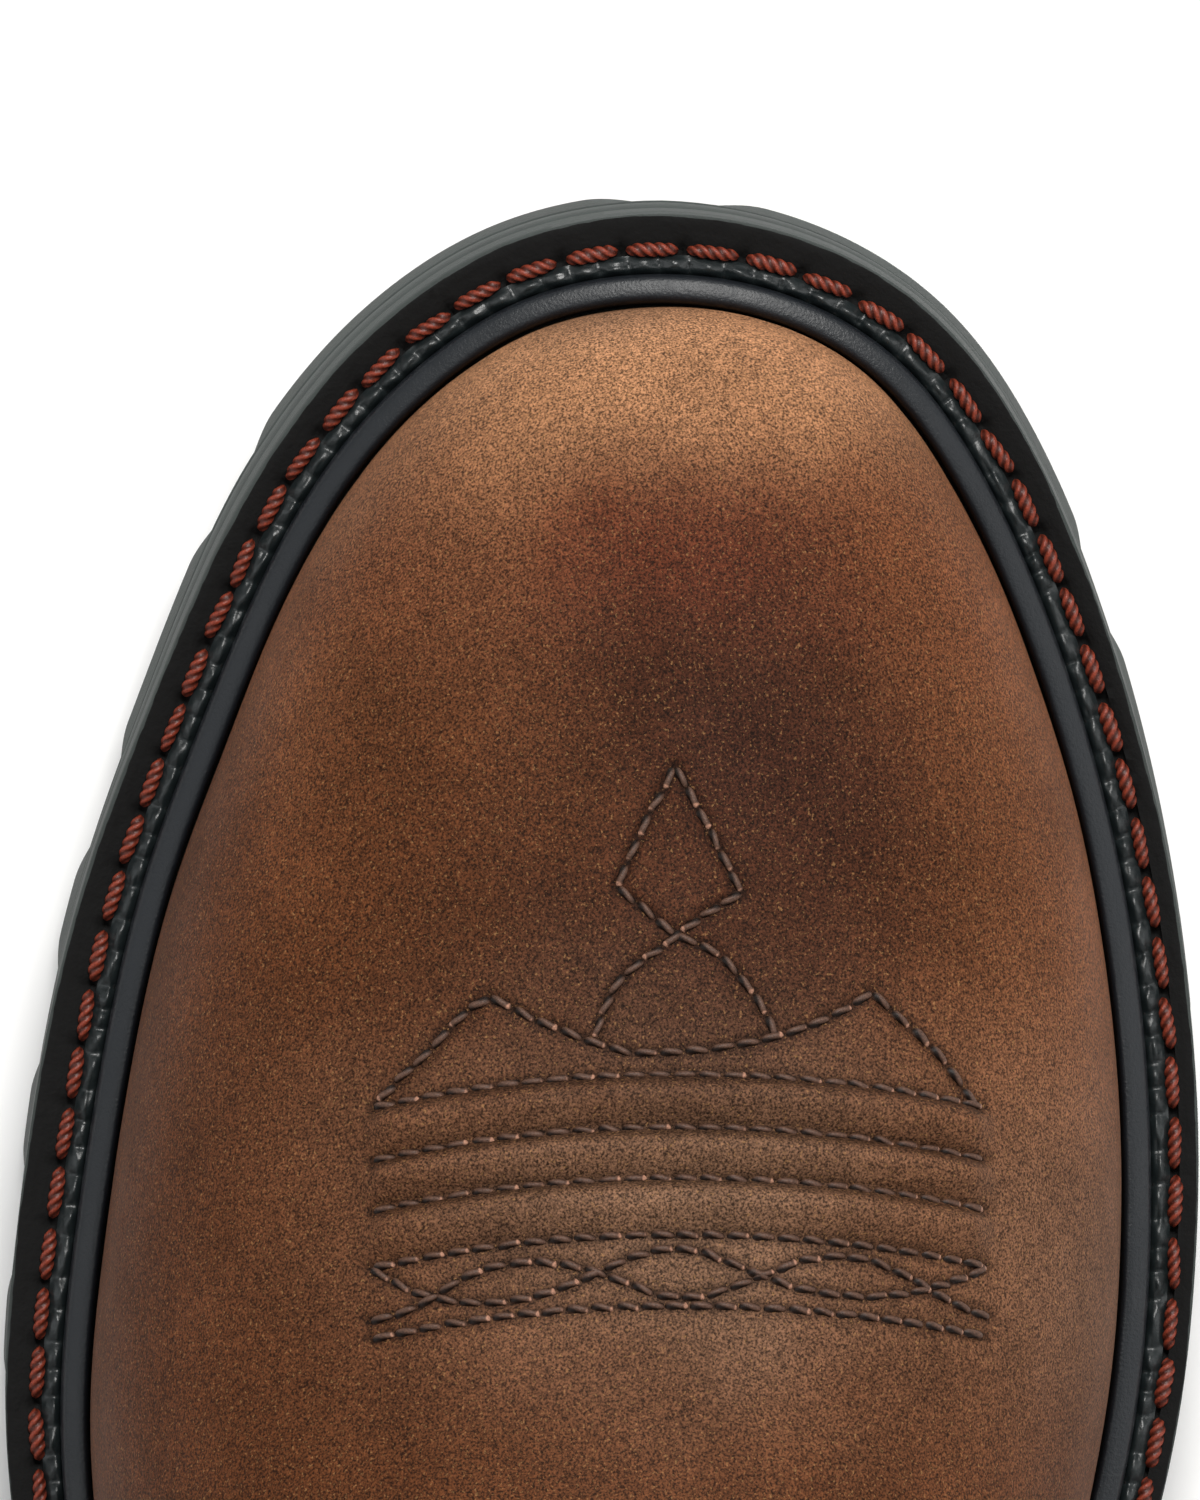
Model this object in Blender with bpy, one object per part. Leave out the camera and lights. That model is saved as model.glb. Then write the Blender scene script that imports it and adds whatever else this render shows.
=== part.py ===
"""Western work boot, left foot, built as separate named pieces.

Frame in metres: +X from heel to toe, +Y to the outer side, +Z up, and the
origin at the middle of the heel's flat ground face.
"""
import math

import bmesh
import bpy
import numpy as np

# Driving sizes of the last and the sole
HEEL_BACK = -0.0355
LAST_LENGTH = 0.2920
BALL_WIDTH = 0.1010
HEEL_OVERHANG = 0.0065
TOE_OVERHANG = 0.0115
SOLE_BACK = HEEL_BACK - HEEL_OVERHANG
SOLE_LENGTH = HEEL_OVERHANG + LAST_LENGTH + TOE_OVERHANG
HEEL_HEIGHT = 0.030
HEEL_BREAST = 0.034
HEEL_FACE_HALF = 0.036
SHAFT_HEIGHT = 0.256
SHAFT_GIRTH_SWELL = 0.0163

# Thicknesses and clearances
OUTSOLE_THICK = 0.005
LUG_DEPTH = 0.004
LUG_INWARD = 0.014
LUG_REACH = 0.0006
LUG_TAPER = 0.0025
LUG_TOP = 0.0038
LUG_TOP_FLARE = 0.88
LUG_BEVEL = 0.010
MIDSOLE_THICK = 0.003
WELT_THICK = 0.0032
BEAD_RISE = 0.0031
WELT_MARGIN = 0.0090
FIT = 0.0003
STAND = 0.0002
OVERLAY_THICK = 0.0015
WALL = 0.002
UPPER_INSET = OVERLAY_THICK + FIT + 0.0001
INSOLE_THICK = 0.0035
TUCK_IN = 0.0012
CAP_THICK = 0.008
BINDING_THICK = 0.0012
BINDING_DROP = 0.009
STRAP_THICK = 0.002
STRAP_WIDTH = 0.025
STRAP_RISE = 0.013
SEAM_WIDTH = 0.006

# Mesh steps
SIDE_STEPS = 40
HALF_COLUMNS = 12
TOE_ROWS = 6
FOOT_STEP = 0.5
LAST_FINE_STATION = 13

# Outline of the last where the leather meets the welt
# columns: share of LAST_LENGTH from the heel, outer and inner share of BALL_WIDTH
OUTLINE = (
    (0.000, 0.000, 0.000),
    (0.007, 0.098, 0.098),
    (0.029, 0.199, 0.198),
    (0.070, 0.285, 0.281),
    (0.138, 0.329, 0.322),
    (0.224, 0.336, 0.313),
    (0.320, 0.340, 0.295),
    (0.412, 0.375, 0.309),
    (0.498, 0.442, 0.378),
    (0.566, 0.483, 0.450),
    (0.628, 0.498, 0.493),
    (0.686, 0.484, 0.507),
    (0.744, 0.458, 0.503),
    (0.799, 0.422, 0.483),
    (0.857, 0.361, 0.442),
    (0.908, 0.297, 0.388),
    (0.946, 0.229, 0.332),
    (0.975, 0.146, 0.265),
    (0.992, 0.065, 0.183),
    (1.000, -0.059, 0.059),
)

# Underside of the outsole without its lugs
# columns: share of SOLE_LENGTH from the heel, share of HEEL_HEIGHT
SOLE_LINE = (
    (0.000, 1.000),
    (0.266, 1.000),
    (0.285, 0.980),
    (0.312, 0.912),
    (0.361, 0.767),
    (0.426, 0.533),
    (0.490, 0.290),
    (0.539, 0.167),
    (0.577, 0.133),
    (0.742, 0.133),
    (0.780, 0.150),
    (0.820, 0.197),
    (0.877, 0.300),
    (0.942, 0.440),
    (1.000, 0.600),
)

# Margin of the welt and flare of the outsole beyond it, in shares of WELT_MARGIN
# columns: share of the way from heel to toe, outer welt, inner welt, outer flare, inner flare
MARGINS = (
    (0.00, 0.70, 0.70, 0.05, 0.05),
    (0.30, 0.74, 0.70, 0.04, 0.04),
    (0.50, 0.86, 0.76, 0.02, 0.02),
    (0.64, 0.98, 0.84, 0.03, 0.00),
    (0.70, 1.00, 0.88, 0.06, 0.00),
    (0.76, 0.96, 0.885, 0.11, 0.02),
    (0.837, 0.93, 0.905, 0.18, 0.08),
    (0.883, 0.925, 0.945, 0.235, 0.105),
    (0.93, 0.965, 0.967, 0.24, 0.15),
    (1.00, 0.995, 0.995, 0.22, 0.22),
)

# Lugs along the sole's edge in front of the arch
# columns: side (1 outer, -1 inner), start and stop in shares of the way from heel to toe
LUGS = (
    (1, 0.548, 0.584),
    (1, 0.608, 0.644),
    (1, 0.668, 0.704),
    (1, 0.728, 0.765),
    (1, 0.790, 0.860),
    (1, 0.884, 0.993),
    (-1, 0.548, 0.584),
    (-1, 0.608, 0.644),
    (-1, 0.668, 0.704),
    (-1, 0.719, 0.838),
    (-1, 0.860, 0.987),
)

# Crown line of the toe box before it rounds down to the toe
# columns: share of LAST_LENGTH from the heel, share of SHAFT_HEIGHT
TOE_CROWN = (
    (0.646, 0.286),
    (0.710, 0.266),
    (0.780, 0.250),
    (0.860, 0.243),
    (0.940, 0.243),
    (1.020, 0.246),
)

# Sections of the upper from the ball to the collar; row 10 stands at the back of the heel
# columns: crown x and base x in shares of LAST_LENGTH, crown z and base z in shares of
# SHAFT_HEIGHT, outer and inner swell in shares of SHAFT_GIRTH_SWELL, belly height share,
# turn under, roundness, lift of the sides in shares of SHAFT_HEIGHT
STATIONS = (
    (0.7096, 0.266, 0.7096, 0.151, 0.00, 0.00, 0.13, 0.12, 2.50, 0.000),
    (0.640, 0.292, 0.638, 0.151, 0.00, 0.00, 0.13, 0.12, 2.33, 0.000),
    (0.580, 0.330, 0.566, 0.151, 0.00, 0.03, 0.15, 0.14, 2.15, 0.000),
    (0.532, 0.378, 0.491, 0.151, 0.03, 0.18, 0.19, 0.18, 2.05, 0.000),
    (0.495, 0.436, 0.409, 0.151, 0.13, 0.34, 0.24, 0.24, 2.00, 0.000),
    (0.467, 0.500, 0.313, 0.151, 0.20, 0.40, 0.28, 0.32, 2.00, 0.000),
    (0.448, 0.559, 0.210, 0.151, 0.19, 0.36, 0.31, 0.42, 2.00, 0.000),
    (0.434, 0.613, 0.115, 0.151, 0.16, 0.27, 0.33, 0.54, 2.00, 0.000),
    (0.426, 0.660, 0.046, 0.151, 0.15, 0.22, 0.35, 0.68, 2.00, 0.000),
    (0.419, 0.699, 0.009, 0.151, 0.15, 0.20, 0.37, 0.80, 2.00, 0.000),
    (0.415, 0.730, 0.000, 0.151, 0.16, 0.21, 0.39, 0.88, 2.00, 0.000),
    (0.409, 0.770, -0.017, 0.242, 0.20, 0.26, 0.42, 0.95, 2.00, 0.000),
    (0.404, 0.808, -0.023, 0.344, 0.29, 0.36, 0.45, 1.00, 2.00, 0.004),
    (0.399, 0.844, -0.021, 0.453, 0.41, 0.48, 0.47, 1.00, 2.05, 0.010),
    (0.396, 0.879, -0.027, 0.578, 0.56, 0.63, 0.49, 1.00, 2.10, 0.020),
    (0.393, 0.918, -0.047, 0.723, 0.78, 0.85, 0.50, 1.00, 2.10, 0.036),
    (0.390, 0.959, -0.067, 0.867, 0.93, 1.00, 0.50, 1.00, 2.10, 0.060),
    (0.388, 1.000, -0.080, 1.000, 1.00, 1.06, 0.50, 1.00, 2.10, 0.086),
)
ZIP = 10
COLLAR = len(STATIONS) - 1

# Edge of the counter: share of the half section kept on each row
# columns: station, first kept share
COUNTER_EDGE = (
    (5.05, 0.775),
    (6.0, 0.757),
    (7.0, 0.711),
    (8.0, 0.667),
    (9.0, 0.643),
    (10.0, 0.640),
    (10.5, 0.672),
    (11.0, 0.726),
    (11.5, 0.795),
    (12.0, 0.868),
    (12.5, 0.934),
)
VAMP_EDGE = 5.0
TONGUE_REACH = 2.3
TONGUE_WIDTH = 0.24

# Colours of the materials
LEATHER = (0.16, 0.075, 0.038, 1.0)
DARK_LEATHER = (0.11, 0.055, 0.03, 1.0)
RUBBER = (0.022, 0.022, 0.024, 1.0)
BLACK_EDGE = (0.03, 0.03, 0.033, 1.0)
FOOTBED = (0.30, 0.22, 0.14, 1.0)
WEBBING = (0.09, 0.05, 0.032, 1.0)


def spline(knots, values, at):
    """Natural cubic through the values at the knots."""
    knots = np.asarray(knots, float)
    values = np.asarray(values, float).reshape(len(knots), -1)
    at = np.asarray(at, float)
    step = np.diff(knots)
    count = len(knots)
    system = np.eye(count)
    right = np.zeros_like(values)
    slope = np.diff(values, axis=0) / step[:, None]
    for i in range(1, count - 1):
        system[i, i - 1:i + 2] = step[i - 1], 2 * (step[i - 1] + step[i]), step[i]
        right[i] = 6 * (slope[i] - slope[i - 1])
    bend = np.linalg.solve(system, right)
    i = np.clip(np.searchsorted(knots, at) - 1, 0, count - 2)
    width = step[i][..., None]
    before = (at - knots[i])[..., None]
    after = (knots[i + 1] - at)[..., None]
    cubic = bend[i] * after ** 3 + bend[i + 1] * before ** 3
    start = (values[i] / width - bend[i] * width / 6) * after
    end = (values[i + 1] / width - bend[i + 1] * width / 6) * before
    return cubic / (6 * width) + start + end


def steady(knots, values, at):
    """Cubic through the values that never swings past them."""
    knots = np.asarray(knots, float)
    values = np.asarray(values, float)
    step = np.diff(knots)
    slope = np.diff(values) / step
    tangent = np.zeros(len(knots))
    same = slope[1:] * slope[:-1] > 0
    safe = np.where(same, slope[1:] + slope[:-1], 1.0)
    tangent[1:-1] = np.where(same, 2 * slope[1:] * slope[:-1] / safe, 0.0)
    tangent[0], tangent[-1] = slope[0], slope[-1]
    at = np.clip(np.asarray(at, float), knots[0], knots[-1])
    i = np.clip(np.searchsorted(knots, at) - 1, 0, len(knots) - 2)
    t = (at - knots[i]) / step[i]
    start = values[i] * (1 + 2 * t) * (1 - t) ** 2 + values[i + 1] * t * t * (3 - 2 * t)
    return start + step[i] * (tangent[i] * t * (1 - t) ** 2 - tangent[i + 1] * t * t * (1 - t))


def last_edges(samples=600):
    """Dense outline of the last: per side the x, y and outward normal from heel to toe."""
    table = np.array(OUTLINE)
    x = HEEL_BACK + LAST_LENGTH * table[:, 0]
    outer = np.column_stack([x, BALL_WIDTH * table[:, 1]])
    inner = np.column_stack([x, -BALL_WIDTH * table[:, 2]])[-2:0:-1]
    ring = np.vstack([outer, inner])
    count = len(ring)
    wrapped = np.vstack([ring[-4:], ring, ring[:5]])
    knots = np.concatenate([[0.0], np.cumsum(np.hypot(*np.diff(wrapped, axis=0).T))])
    heel, toe, again = knots[4], knots[4 + len(outer) - 1], knots[4 + count]
    sides = {}
    for side, first, second in ((1, heel, toe), (-1, again, toe)):
        at = np.linspace(first, second, samples)
        point = spline(knots, wrapped, at)
        way = spline(knots, wrapped, at + 1e-5) - spline(knots, wrapped, at - 1e-5)
        way /= np.hypot(way[:, 0], way[:, 1])[:, None]
        normal = np.column_stack([-way[:, 1], way[:, 0]])
        length = np.concatenate([[0.0], np.cumsum(np.hypot(*np.diff(point, axis=0).T))])
        if normal[samples // 2, 1] * side < 0:
            normal = -normal
        sides[side] = (length / length[-1], point, normal)
    return sides


EDGES = last_edges()


def edge_at(side, share, out):
    """Outline point at a share of the way from heel to toe, moved outward."""
    way, point, normal = EDGES[side]
    moved = [np.interp(share, way, point[:, k]) + out * np.interp(share, way, normal[:, k])
             for k in (0, 1)]
    return moved[0], moved[1]


def share_at_x(side, x):
    """Share of the way from heel to toe at a given x."""
    way, point, _ = EDGES[side]
    return np.interp(x, point[:, 0], way)


def sole_under(x):
    """Height of the outsole's underside."""
    table = np.array(SOLE_LINE)
    share = (np.asarray(x, float) - SOLE_BACK) / SOLE_LENGTH
    return HEEL_HEIGHT * steady(table[:, 0], table[:, 1], share)


def feather(x):
    """Height at which the upper stands."""
    return sole_under(x) + OUTSOLE_THICK + MIDSOLE_THICK + 2 * FIT + STAND


def margin(side, share, flare):
    """Margin of the welt beyond the last, with a share of the outsole's flare."""
    table = np.array(MARGINS)
    column = 1 if side > 0 else 2
    reach = steady(table[:, 0], table[:, column], share)
    return WELT_MARGIN * (reach + flare * steady(table[:, 0], table[:, column + 2], share))


def station(s):
    """Columns of the section table at a row position."""
    return spline(np.arange(len(STATIONS)), np.array(STATIONS), s)


def body_point(s, b, inset):
    """Surface of the upper behind the ball, b from the inner to the outer edge."""
    s, b = np.broadcast_arrays(np.asarray(s, float), np.asarray(b, float))
    row = station(s)
    ahead, behind = station(s + 0.02), station(s - 0.02)
    crown_x = HEEL_BACK + LAST_LENGTH * row[..., 0]
    crown_z = SHAFT_HEIGHT * row[..., 1]
    crown_dx = LAST_LENGTH * (ahead - behind)[..., 0]
    crown_dz = SHAFT_HEIGHT * (ahead - behind)[..., 1]
    size = np.hypot(crown_dx, crown_dz)
    crown_x = crown_x - inset * crown_dz / size * np.clip(s / 2, 0, 1)
    crown_z = crown_z + inset * crown_dx / size
    base_x = HEEL_BACK + LAST_LENGTH * row[..., 2]
    seam_dx = LAST_LENGTH * (ahead - behind)[..., 2]
    seam_dz = SHAFT_HEIGHT * (ahead - behind)[..., 3]
    size = np.hypot(seam_dx, seam_dz) + 1e-12
    fade = np.clip(1 - (s - ZIP) / 2, 0, 1)
    seam_x = base_x + TUCK_IN * fade * fade + inset * seam_dz / size
    seam_z = SHAFT_HEIGHT * row[..., 3] - inset * seam_dx / size * (1 - fade)
    result = np.zeros(s.shape + (3,))
    for side in (1, -1):
        use = (b >= 0) if side > 0 else (b < 0)
        foot_x, foot_y = edge_at(side, share_at_x(side, base_x), -TUCK_IN - inset)
        on_sole = s <= ZIP
        end_x = np.where(on_sole, foot_x, seam_x)
        end_y = np.where(on_sole, foot_y, 0.0)
        end_z = np.where(on_sole, feather(foot_x), seam_z)
        wide_x = end_x + (crown_x - end_x) * row[..., 6]
        wide_z = end_z + (crown_z - end_z) * row[..., 6]
        reach = []
        for which, column in ((1, 4), (-1, 5)):
            outline_y = edge_at(which, share_at_x(which, base_x + (crown_x - base_x) * row[..., 6]), 0.0)[1]
            reach.append(outline_y + which * SHAFT_GIRTH_SWELL * row[..., column])
        middle_y = (reach[0] + reach[1]) / 2
        wide_y = (reach[0] if side > 0 else reach[1]) - side * inset
        q = np.abs(b) * (1 + row[..., 7])
        angle = np.clip(q, 0, 1) * math.pi / 2
        power = 2 / row[..., 8]
        up = np.cos(angle) ** power
        across = np.sin(angle) ** power
        high = np.stack([wide_x + (crown_x - wide_x) * up,
                         middle_y + (wide_y - middle_y) * across,
                         wide_z + (crown_z - wide_z) * up], axis=-1)
        turn = np.clip((q - 1) / row[..., 7], 0, 1)
        sine = np.sin(turn * math.pi / 2)
        bulge = np.abs(wide_y - end_y)
        bend = 1 + bulge / (np.abs(wide_y - middle_y) + 1e-9)
        curve = np.clip(1 - sine ** 2, 0, 1) ** (1 / bend)
        low = np.stack([end_x + (wide_x - end_x) * (1 - sine),
                        end_y + (wide_y - end_y) * curve,
                        end_z + (wide_z - end_z) * (1 - sine)], axis=-1)
        point = np.where((q <= 1)[..., None], high, low)
        result = np.where(use[..., None], point, result)
    result[..., 2] += SHAFT_HEIGHT * row[..., 9] * np.sin(math.pi * np.abs(b)) ** 2
    return result


def toe_point(a, b, inset):
    """Dome of the toe on a square that is mapped to a half disc, a from the ball to the tip."""
    a, b = np.broadcast_arrays(np.asarray(a, float), np.asarray(b, float))
    first = np.array(STATIONS[0])
    ahead = a * np.sqrt(1 - b * b / 2)
    beside = b * np.sqrt(1 - a * a / 2)
    radius = np.hypot(ahead, beside)
    start_x = HEEL_BACK + LAST_LENGTH * first[0]
    half = [edge_at(side, share_at_x(side, start_x), 0.0)[1] for side in (1, -1)]
    middle_y = (half[0] + half[1]) / 2
    front = HEEL_BACK + LAST_LENGTH - start_x
    angle = np.arctan2(beside * (half[0] - half[1]) / 2, ahead * front)
    wide = np.zeros(a.shape + (2,))
    end = np.zeros(a.shape + (2,))
    for side in (1, -1):
        way, point, _ = EDGES[side]
        seen = np.arctan2(point[:, 1] - middle_y, point[:, 0] - start_x)
        keep = point[:, 0] >= start_x - 0.002
        order = np.argsort(seen[keep])
        share = np.interp(angle, seen[keep][order], way[keep][order])
        tip = seen[keep][np.argmax(way[keep])]
        use = (angle >= tip) if side > 0 else (angle < tip)
        here = np.stack(edge_at(side, share, -inset), axis=-1)
        there = np.stack(edge_at(side, share, -TUCK_IN - inset), axis=-1)
        wide = np.where(use[..., None], here, wide)
        end = np.where(use[..., None], there, end)
    q = radius * (1 + first[7])
    theta = np.clip(q, 0, 1) * math.pi / 2
    up = np.cos(theta) ** (2 / first[8])
    across = np.sin(theta) ** (2 / first[8])
    sine = np.sin(np.clip((q - 1) / first[7], 0, 1) * math.pi / 2)
    centre = np.array([start_x, middle_y])
    plan_high = centre + (wide - centre) * across[..., None]
    plan_low = end + (wide - end) * (1 - sine ** 2)[..., None]
    plan = np.where((q <= 1)[..., None], plan_high, plan_low)
    table = np.array(TOE_CROWN)
    crown = SHAFT_HEIGHT * spline(table[:, 0], table[:, 1], (plan[..., 0] - HEEL_BACK) / LAST_LENGTH)[..., 0]
    base = feather(plan[..., 0])
    belly = base + (crown - inset - base) * first[6]
    height = np.where(q <= 1, belly + (crown - inset - belly) * up, base + (belly - base) * (1 - sine))
    return np.concatenate([plan, height[..., None]], axis=-1)


def grid_faces(rows, columns, start=0):
    """Quads of a grid of points stored row by row."""
    r, c = np.meshgrid(np.arange(rows - 1), np.arange(columns - 1), indexing="ij")
    i = (start + r * columns + c).ravel()
    return np.column_stack([i, i + 1, i + columns + 1, i + columns])


def new_object(name, points, faces, material):
    """Closed mesh object with outward faces."""
    mesh = bpy.data.meshes.new(name)
    mesh.from_pydata([tuple(map(float, p)) for p in points], [], [tuple(map(int, f)) for f in faces])
    work = bmesh.new()
    work.from_mesh(mesh)
    loose = [v for v in work.verts if not v.link_faces]
    bmesh.ops.delete(work, geom=loose, context="VERTS")
    bmesh.ops.triangulate(work, faces=work.faces, quad_method="FIXED")
    bmesh.ops.recalc_face_normals(work, faces=work.faces)
    work.to_mesh(mesh)
    work.free()
    mesh.materials.append(material)
    item = bpy.data.objects.new(name, mesh)
    bpy.context.scene.collection.objects.link(item)
    return item


def thick(name, outer, inner, faces, material):
    """Solid between two surfaces that share their faces; open edges get a rim."""
    keys = {}
    weld = []
    for i, point in enumerate(np.round(outer, 7)):
        weld.append(keys.setdefault(tuple(point), i))
    count = len(outer)
    skin = []
    for face in faces:
        corners = []
        for i in face:
            if weld[i] not in corners:
                corners.append(weld[i])
        if len(corners) > 2:
            skin.append(corners)
    sides = set()
    for face in skin:
        for i, j in zip(face, face[1:] + face[:1]):
            if (j, i) in sides:
                sides.remove((j, i))
            else:
                sides.add((i, j))
    back = [[i + count for i in face[:1] + face[:0:-1]] for face in skin]
    rim = [[j, i, i + count, j + count] for i, j in sorted(sides)]
    return new_object(name, np.vstack([outer, inner]), skin + back + rim, material)


def loop_line(out_outer, out_inner):
    """Closed plan loop round the last, moved outward by a function of the way along."""
    share = np.linspace(0, 1, SIDE_STEPS + 1)
    share = share - 0.012 * np.sin(2 * math.pi * share)
    lateral = np.column_stack(edge_at(1, share, out_outer(share)))
    medial = np.column_stack(edge_at(-1, share, out_inner(share)))[-2:0:-1]
    lateral[0, 1] = 0.0
    return np.vstack([lateral, medial])


def sole_loop(extra, height, flare=1.0):
    """Loop at the welt's or outsole's margin plus an extra, at a height above the sole line."""
    plan = loop_line(lambda t: margin(1, t, flare) + extra, lambda t: margin(-1, t, flare) + extra)
    return np.column_stack([plan, sole_under(plan[:, 0]) + height])


def inner_loop(out, height):
    """Loop at a fixed distance from the last's edge."""
    plan = loop_line(lambda t: 0 * t + out, lambda t: 0 * t + out)
    return np.column_stack([plan, sole_under(plan[:, 0]) + height])


def stack_solid(name, loops, material):
    """Solid from stacked loops, capped by rungs from side to side."""
    count = len(loops[0])
    half = count // 2
    faces = []
    for level in range(len(loops) - 1):
        for i in range(count):
            j = (i + 1) % count
            faces.append((level * count + i, level * count + j,
                          (level + 1) * count + j, (level + 1) * count + i))
    for level in (0, len(loops) - 1):
        for i in range(half):
            corners = []
            for k in (i, i + 1, (count - i - 1) % count, (count - i) % count):
                if level * count + k not in corners:
                    corners.append(level * count + k)
            faces.append(corners)
    return new_object(name, np.vstack(loops), faces, material)


def ring_solid(name, loops, material):
    """Ring swept from loops that stand for the corners of its section."""
    count = len(loops[0])
    faces = []
    for level in range(len(loops)):
        after = (level + 1) % len(loops)
        for i in range(count):
            j = (i + 1) % count
            faces.append((level * count + i, level * count + j, after * count + j, after * count + i))
    return new_object(name, np.vstack(loops), faces, material)


def prism(low, high):
    """Points and faces of a prism between two polygons."""
    count = len(low)
    faces = [tuple(range(count)), tuple(range(2 * count - 1, count - 1, -1))]
    for i in range(count):
        j = (i + 1) % count
        faces.append((i, j, count + j, count + i))
    return np.vstack([low, high]), faces


def joined(prisms):
    """Several prisms as one list of points and faces."""
    points, faces, start = [], [], 0
    for part_points, part_faces in prisms:
        points.append(part_points)
        faces += [tuple(start + i for i in face) for face in part_faces]
        start += len(part_points)
    return np.vstack(points), faces


def apply_boolean(target, cutter, operation):
    """Exact boolean that is applied at once; the cutter is then removed."""
    cutter.hide_render = True
    cutter.display_type = "WIRE"
    modifier = target.modifiers.new("cut", "BOOLEAN")
    modifier.operation = operation
    modifier.solver = "EXACT"
    modifier.object = cutter
    bpy.context.view_layer.update()
    shape = target.evaluated_get(bpy.context.evaluated_depsgraph_get())
    mesh = bpy.data.meshes.new_from_object(shape)
    mesh.name = target.name
    target.modifiers.clear()
    target.data = mesh
    bpy.data.objects.remove(cutter)


def new_material(name, color, roughness):
    """Principled material."""
    material = bpy.data.materials.new(name)
    material.use_nodes = True
    shader = material.node_tree.nodes["Principled BSDF"]
    shader.inputs["Base Color"].default_value = color
    shader.inputs["Roughness"].default_value = roughness
    return material


def edge_lug(side, start, stop):
    """Lug at the sole's edge between two shares of the way, with bevelled ends."""
    loops = []
    for grow, height, flare, reach in ((0.0, -LUG_DEPTH, 1.0, LUG_REACH), (LUG_TAPER, LUG_TOP, LUG_TOP_FLARE, 0.0001)):
        first, last = start - grow, stop + grow
        count = 3 + 2 * int(round((last - first) / LUG_TAPER / 14))
        inner = np.linspace(first + LUG_BEVEL, last - LUG_BEVEL, count)
        share = np.concatenate([[first], inner, [last]])
        stand = np.concatenate([[-LUG_REACH], np.full(count, reach), [-LUG_REACH]])
        out = margin(side, share, flare)
        front = np.column_stack(edge_at(side, share, out + stand))
        back = np.column_stack(edge_at(side, share[::-2], out[::-2] - LUG_INWARD))
        plan = np.vstack([front, back])
        loops.append(np.column_stack([plan, sole_under(plan[:, 0]) + height]))
    return prism(loops[0], loops[1])


def middle_lug(x, y, long, wide, skew):
    """Bar lug in the middle of the sole."""
    plan = np.array([[x - long / 2, y - wide], [x + long / 2, y - wide],
                     [x + long / 2 + skew, y], [x + long / 2, y + wide],
                     [x - long / 2, y + wide], [x - long / 2 + skew, y]])
    centre = np.array([x, y])
    foot = centre + (plan - centre) * 0.92
    low = np.column_stack([foot, sole_under(foot[:, 0]) - LUG_DEPTH])
    high = np.column_stack([plan, sole_under(plan[:, 0]) + 0.0012])
    return prism(low, high)


def make_outsole(material):
    """Rubber sheet with a slanted, stepped side and lugs."""
    loops = [sole_loop(-0.0008, 0.0), sole_loop(-0.0001, 0.0008), sole_loop(0.0, LUG_TOP + 0.0002, LUG_TOP_FLARE),
             sole_loop(-0.0004, LUG_TOP + 0.0005, LUG_TOP_FLARE), sole_loop(-0.0004, OUTSOLE_THICK, 0.82)]
    body = stack_solid("outsole", loops, material)
    lugs = []
    for side, start, stop in LUGS:
        lugs.append(edge_lug(side, start, stop))
    for k in range(7):
        wide = 0.013 if k in (0, 6) else 0.017
        lugs.append(middle_lug(SOLE_BACK + SOLE_LENGTH * (0.535 + 0.0565 * k), -0.001, 0.0085, wide, 0.004))
    points, faces = joined(lugs)
    apply_boolean(body, new_object("lug_tool", points, faces, material), "UNION")
    return body


def heel_loop(inset, height, breast):
    """Closed loop of the heel: the sole's edge behind the breast and a hollowed breast line."""
    share = [share_at_x(side, HEEL_BREAST + 0.002) for side in (1, -1)]
    outer = np.linspace(0, share[0], 13)
    inner = np.linspace(share[1], 0, 13)[:-1]
    lateral = np.column_stack(edge_at(1, outer, margin(1, outer, 1.0) - inset))
    medial = np.column_stack(edge_at(-1, inner, margin(-1, inner, 1.0) - inset))
    lateral[-1, 0] = breast
    medial[0, 0] = breast
    t = np.linspace(0, 1, 6)[1:-1]
    line_y = lateral[-1, 1] + (medial[0, 1] - lateral[-1, 1]) * t
    line_x = breast - 0.004 * np.sin(math.pi * t)
    plan = np.vstack([lateral, np.column_stack([line_x, line_y]), medial])
    return np.column_stack([plan, np.full(len(plan), height)])


def heel_solid(name, loops, material):
    """Solid from stacked heel loops with flat caps."""
    count = len(loops[0])
    faces = [tuple(range(count)), tuple(range(len(loops) * count - 1, (len(loops) - 1) * count - 1, -1))]
    for level in range(len(loops) - 1):
        for i in range(count):
            j = (i + 1) % count
            faces.append((level * count + i, level * count + j,
                          (level + 1) * count + j, (level + 1) * count + i))
    return new_object(name, np.vstack(loops), faces, material)


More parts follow.
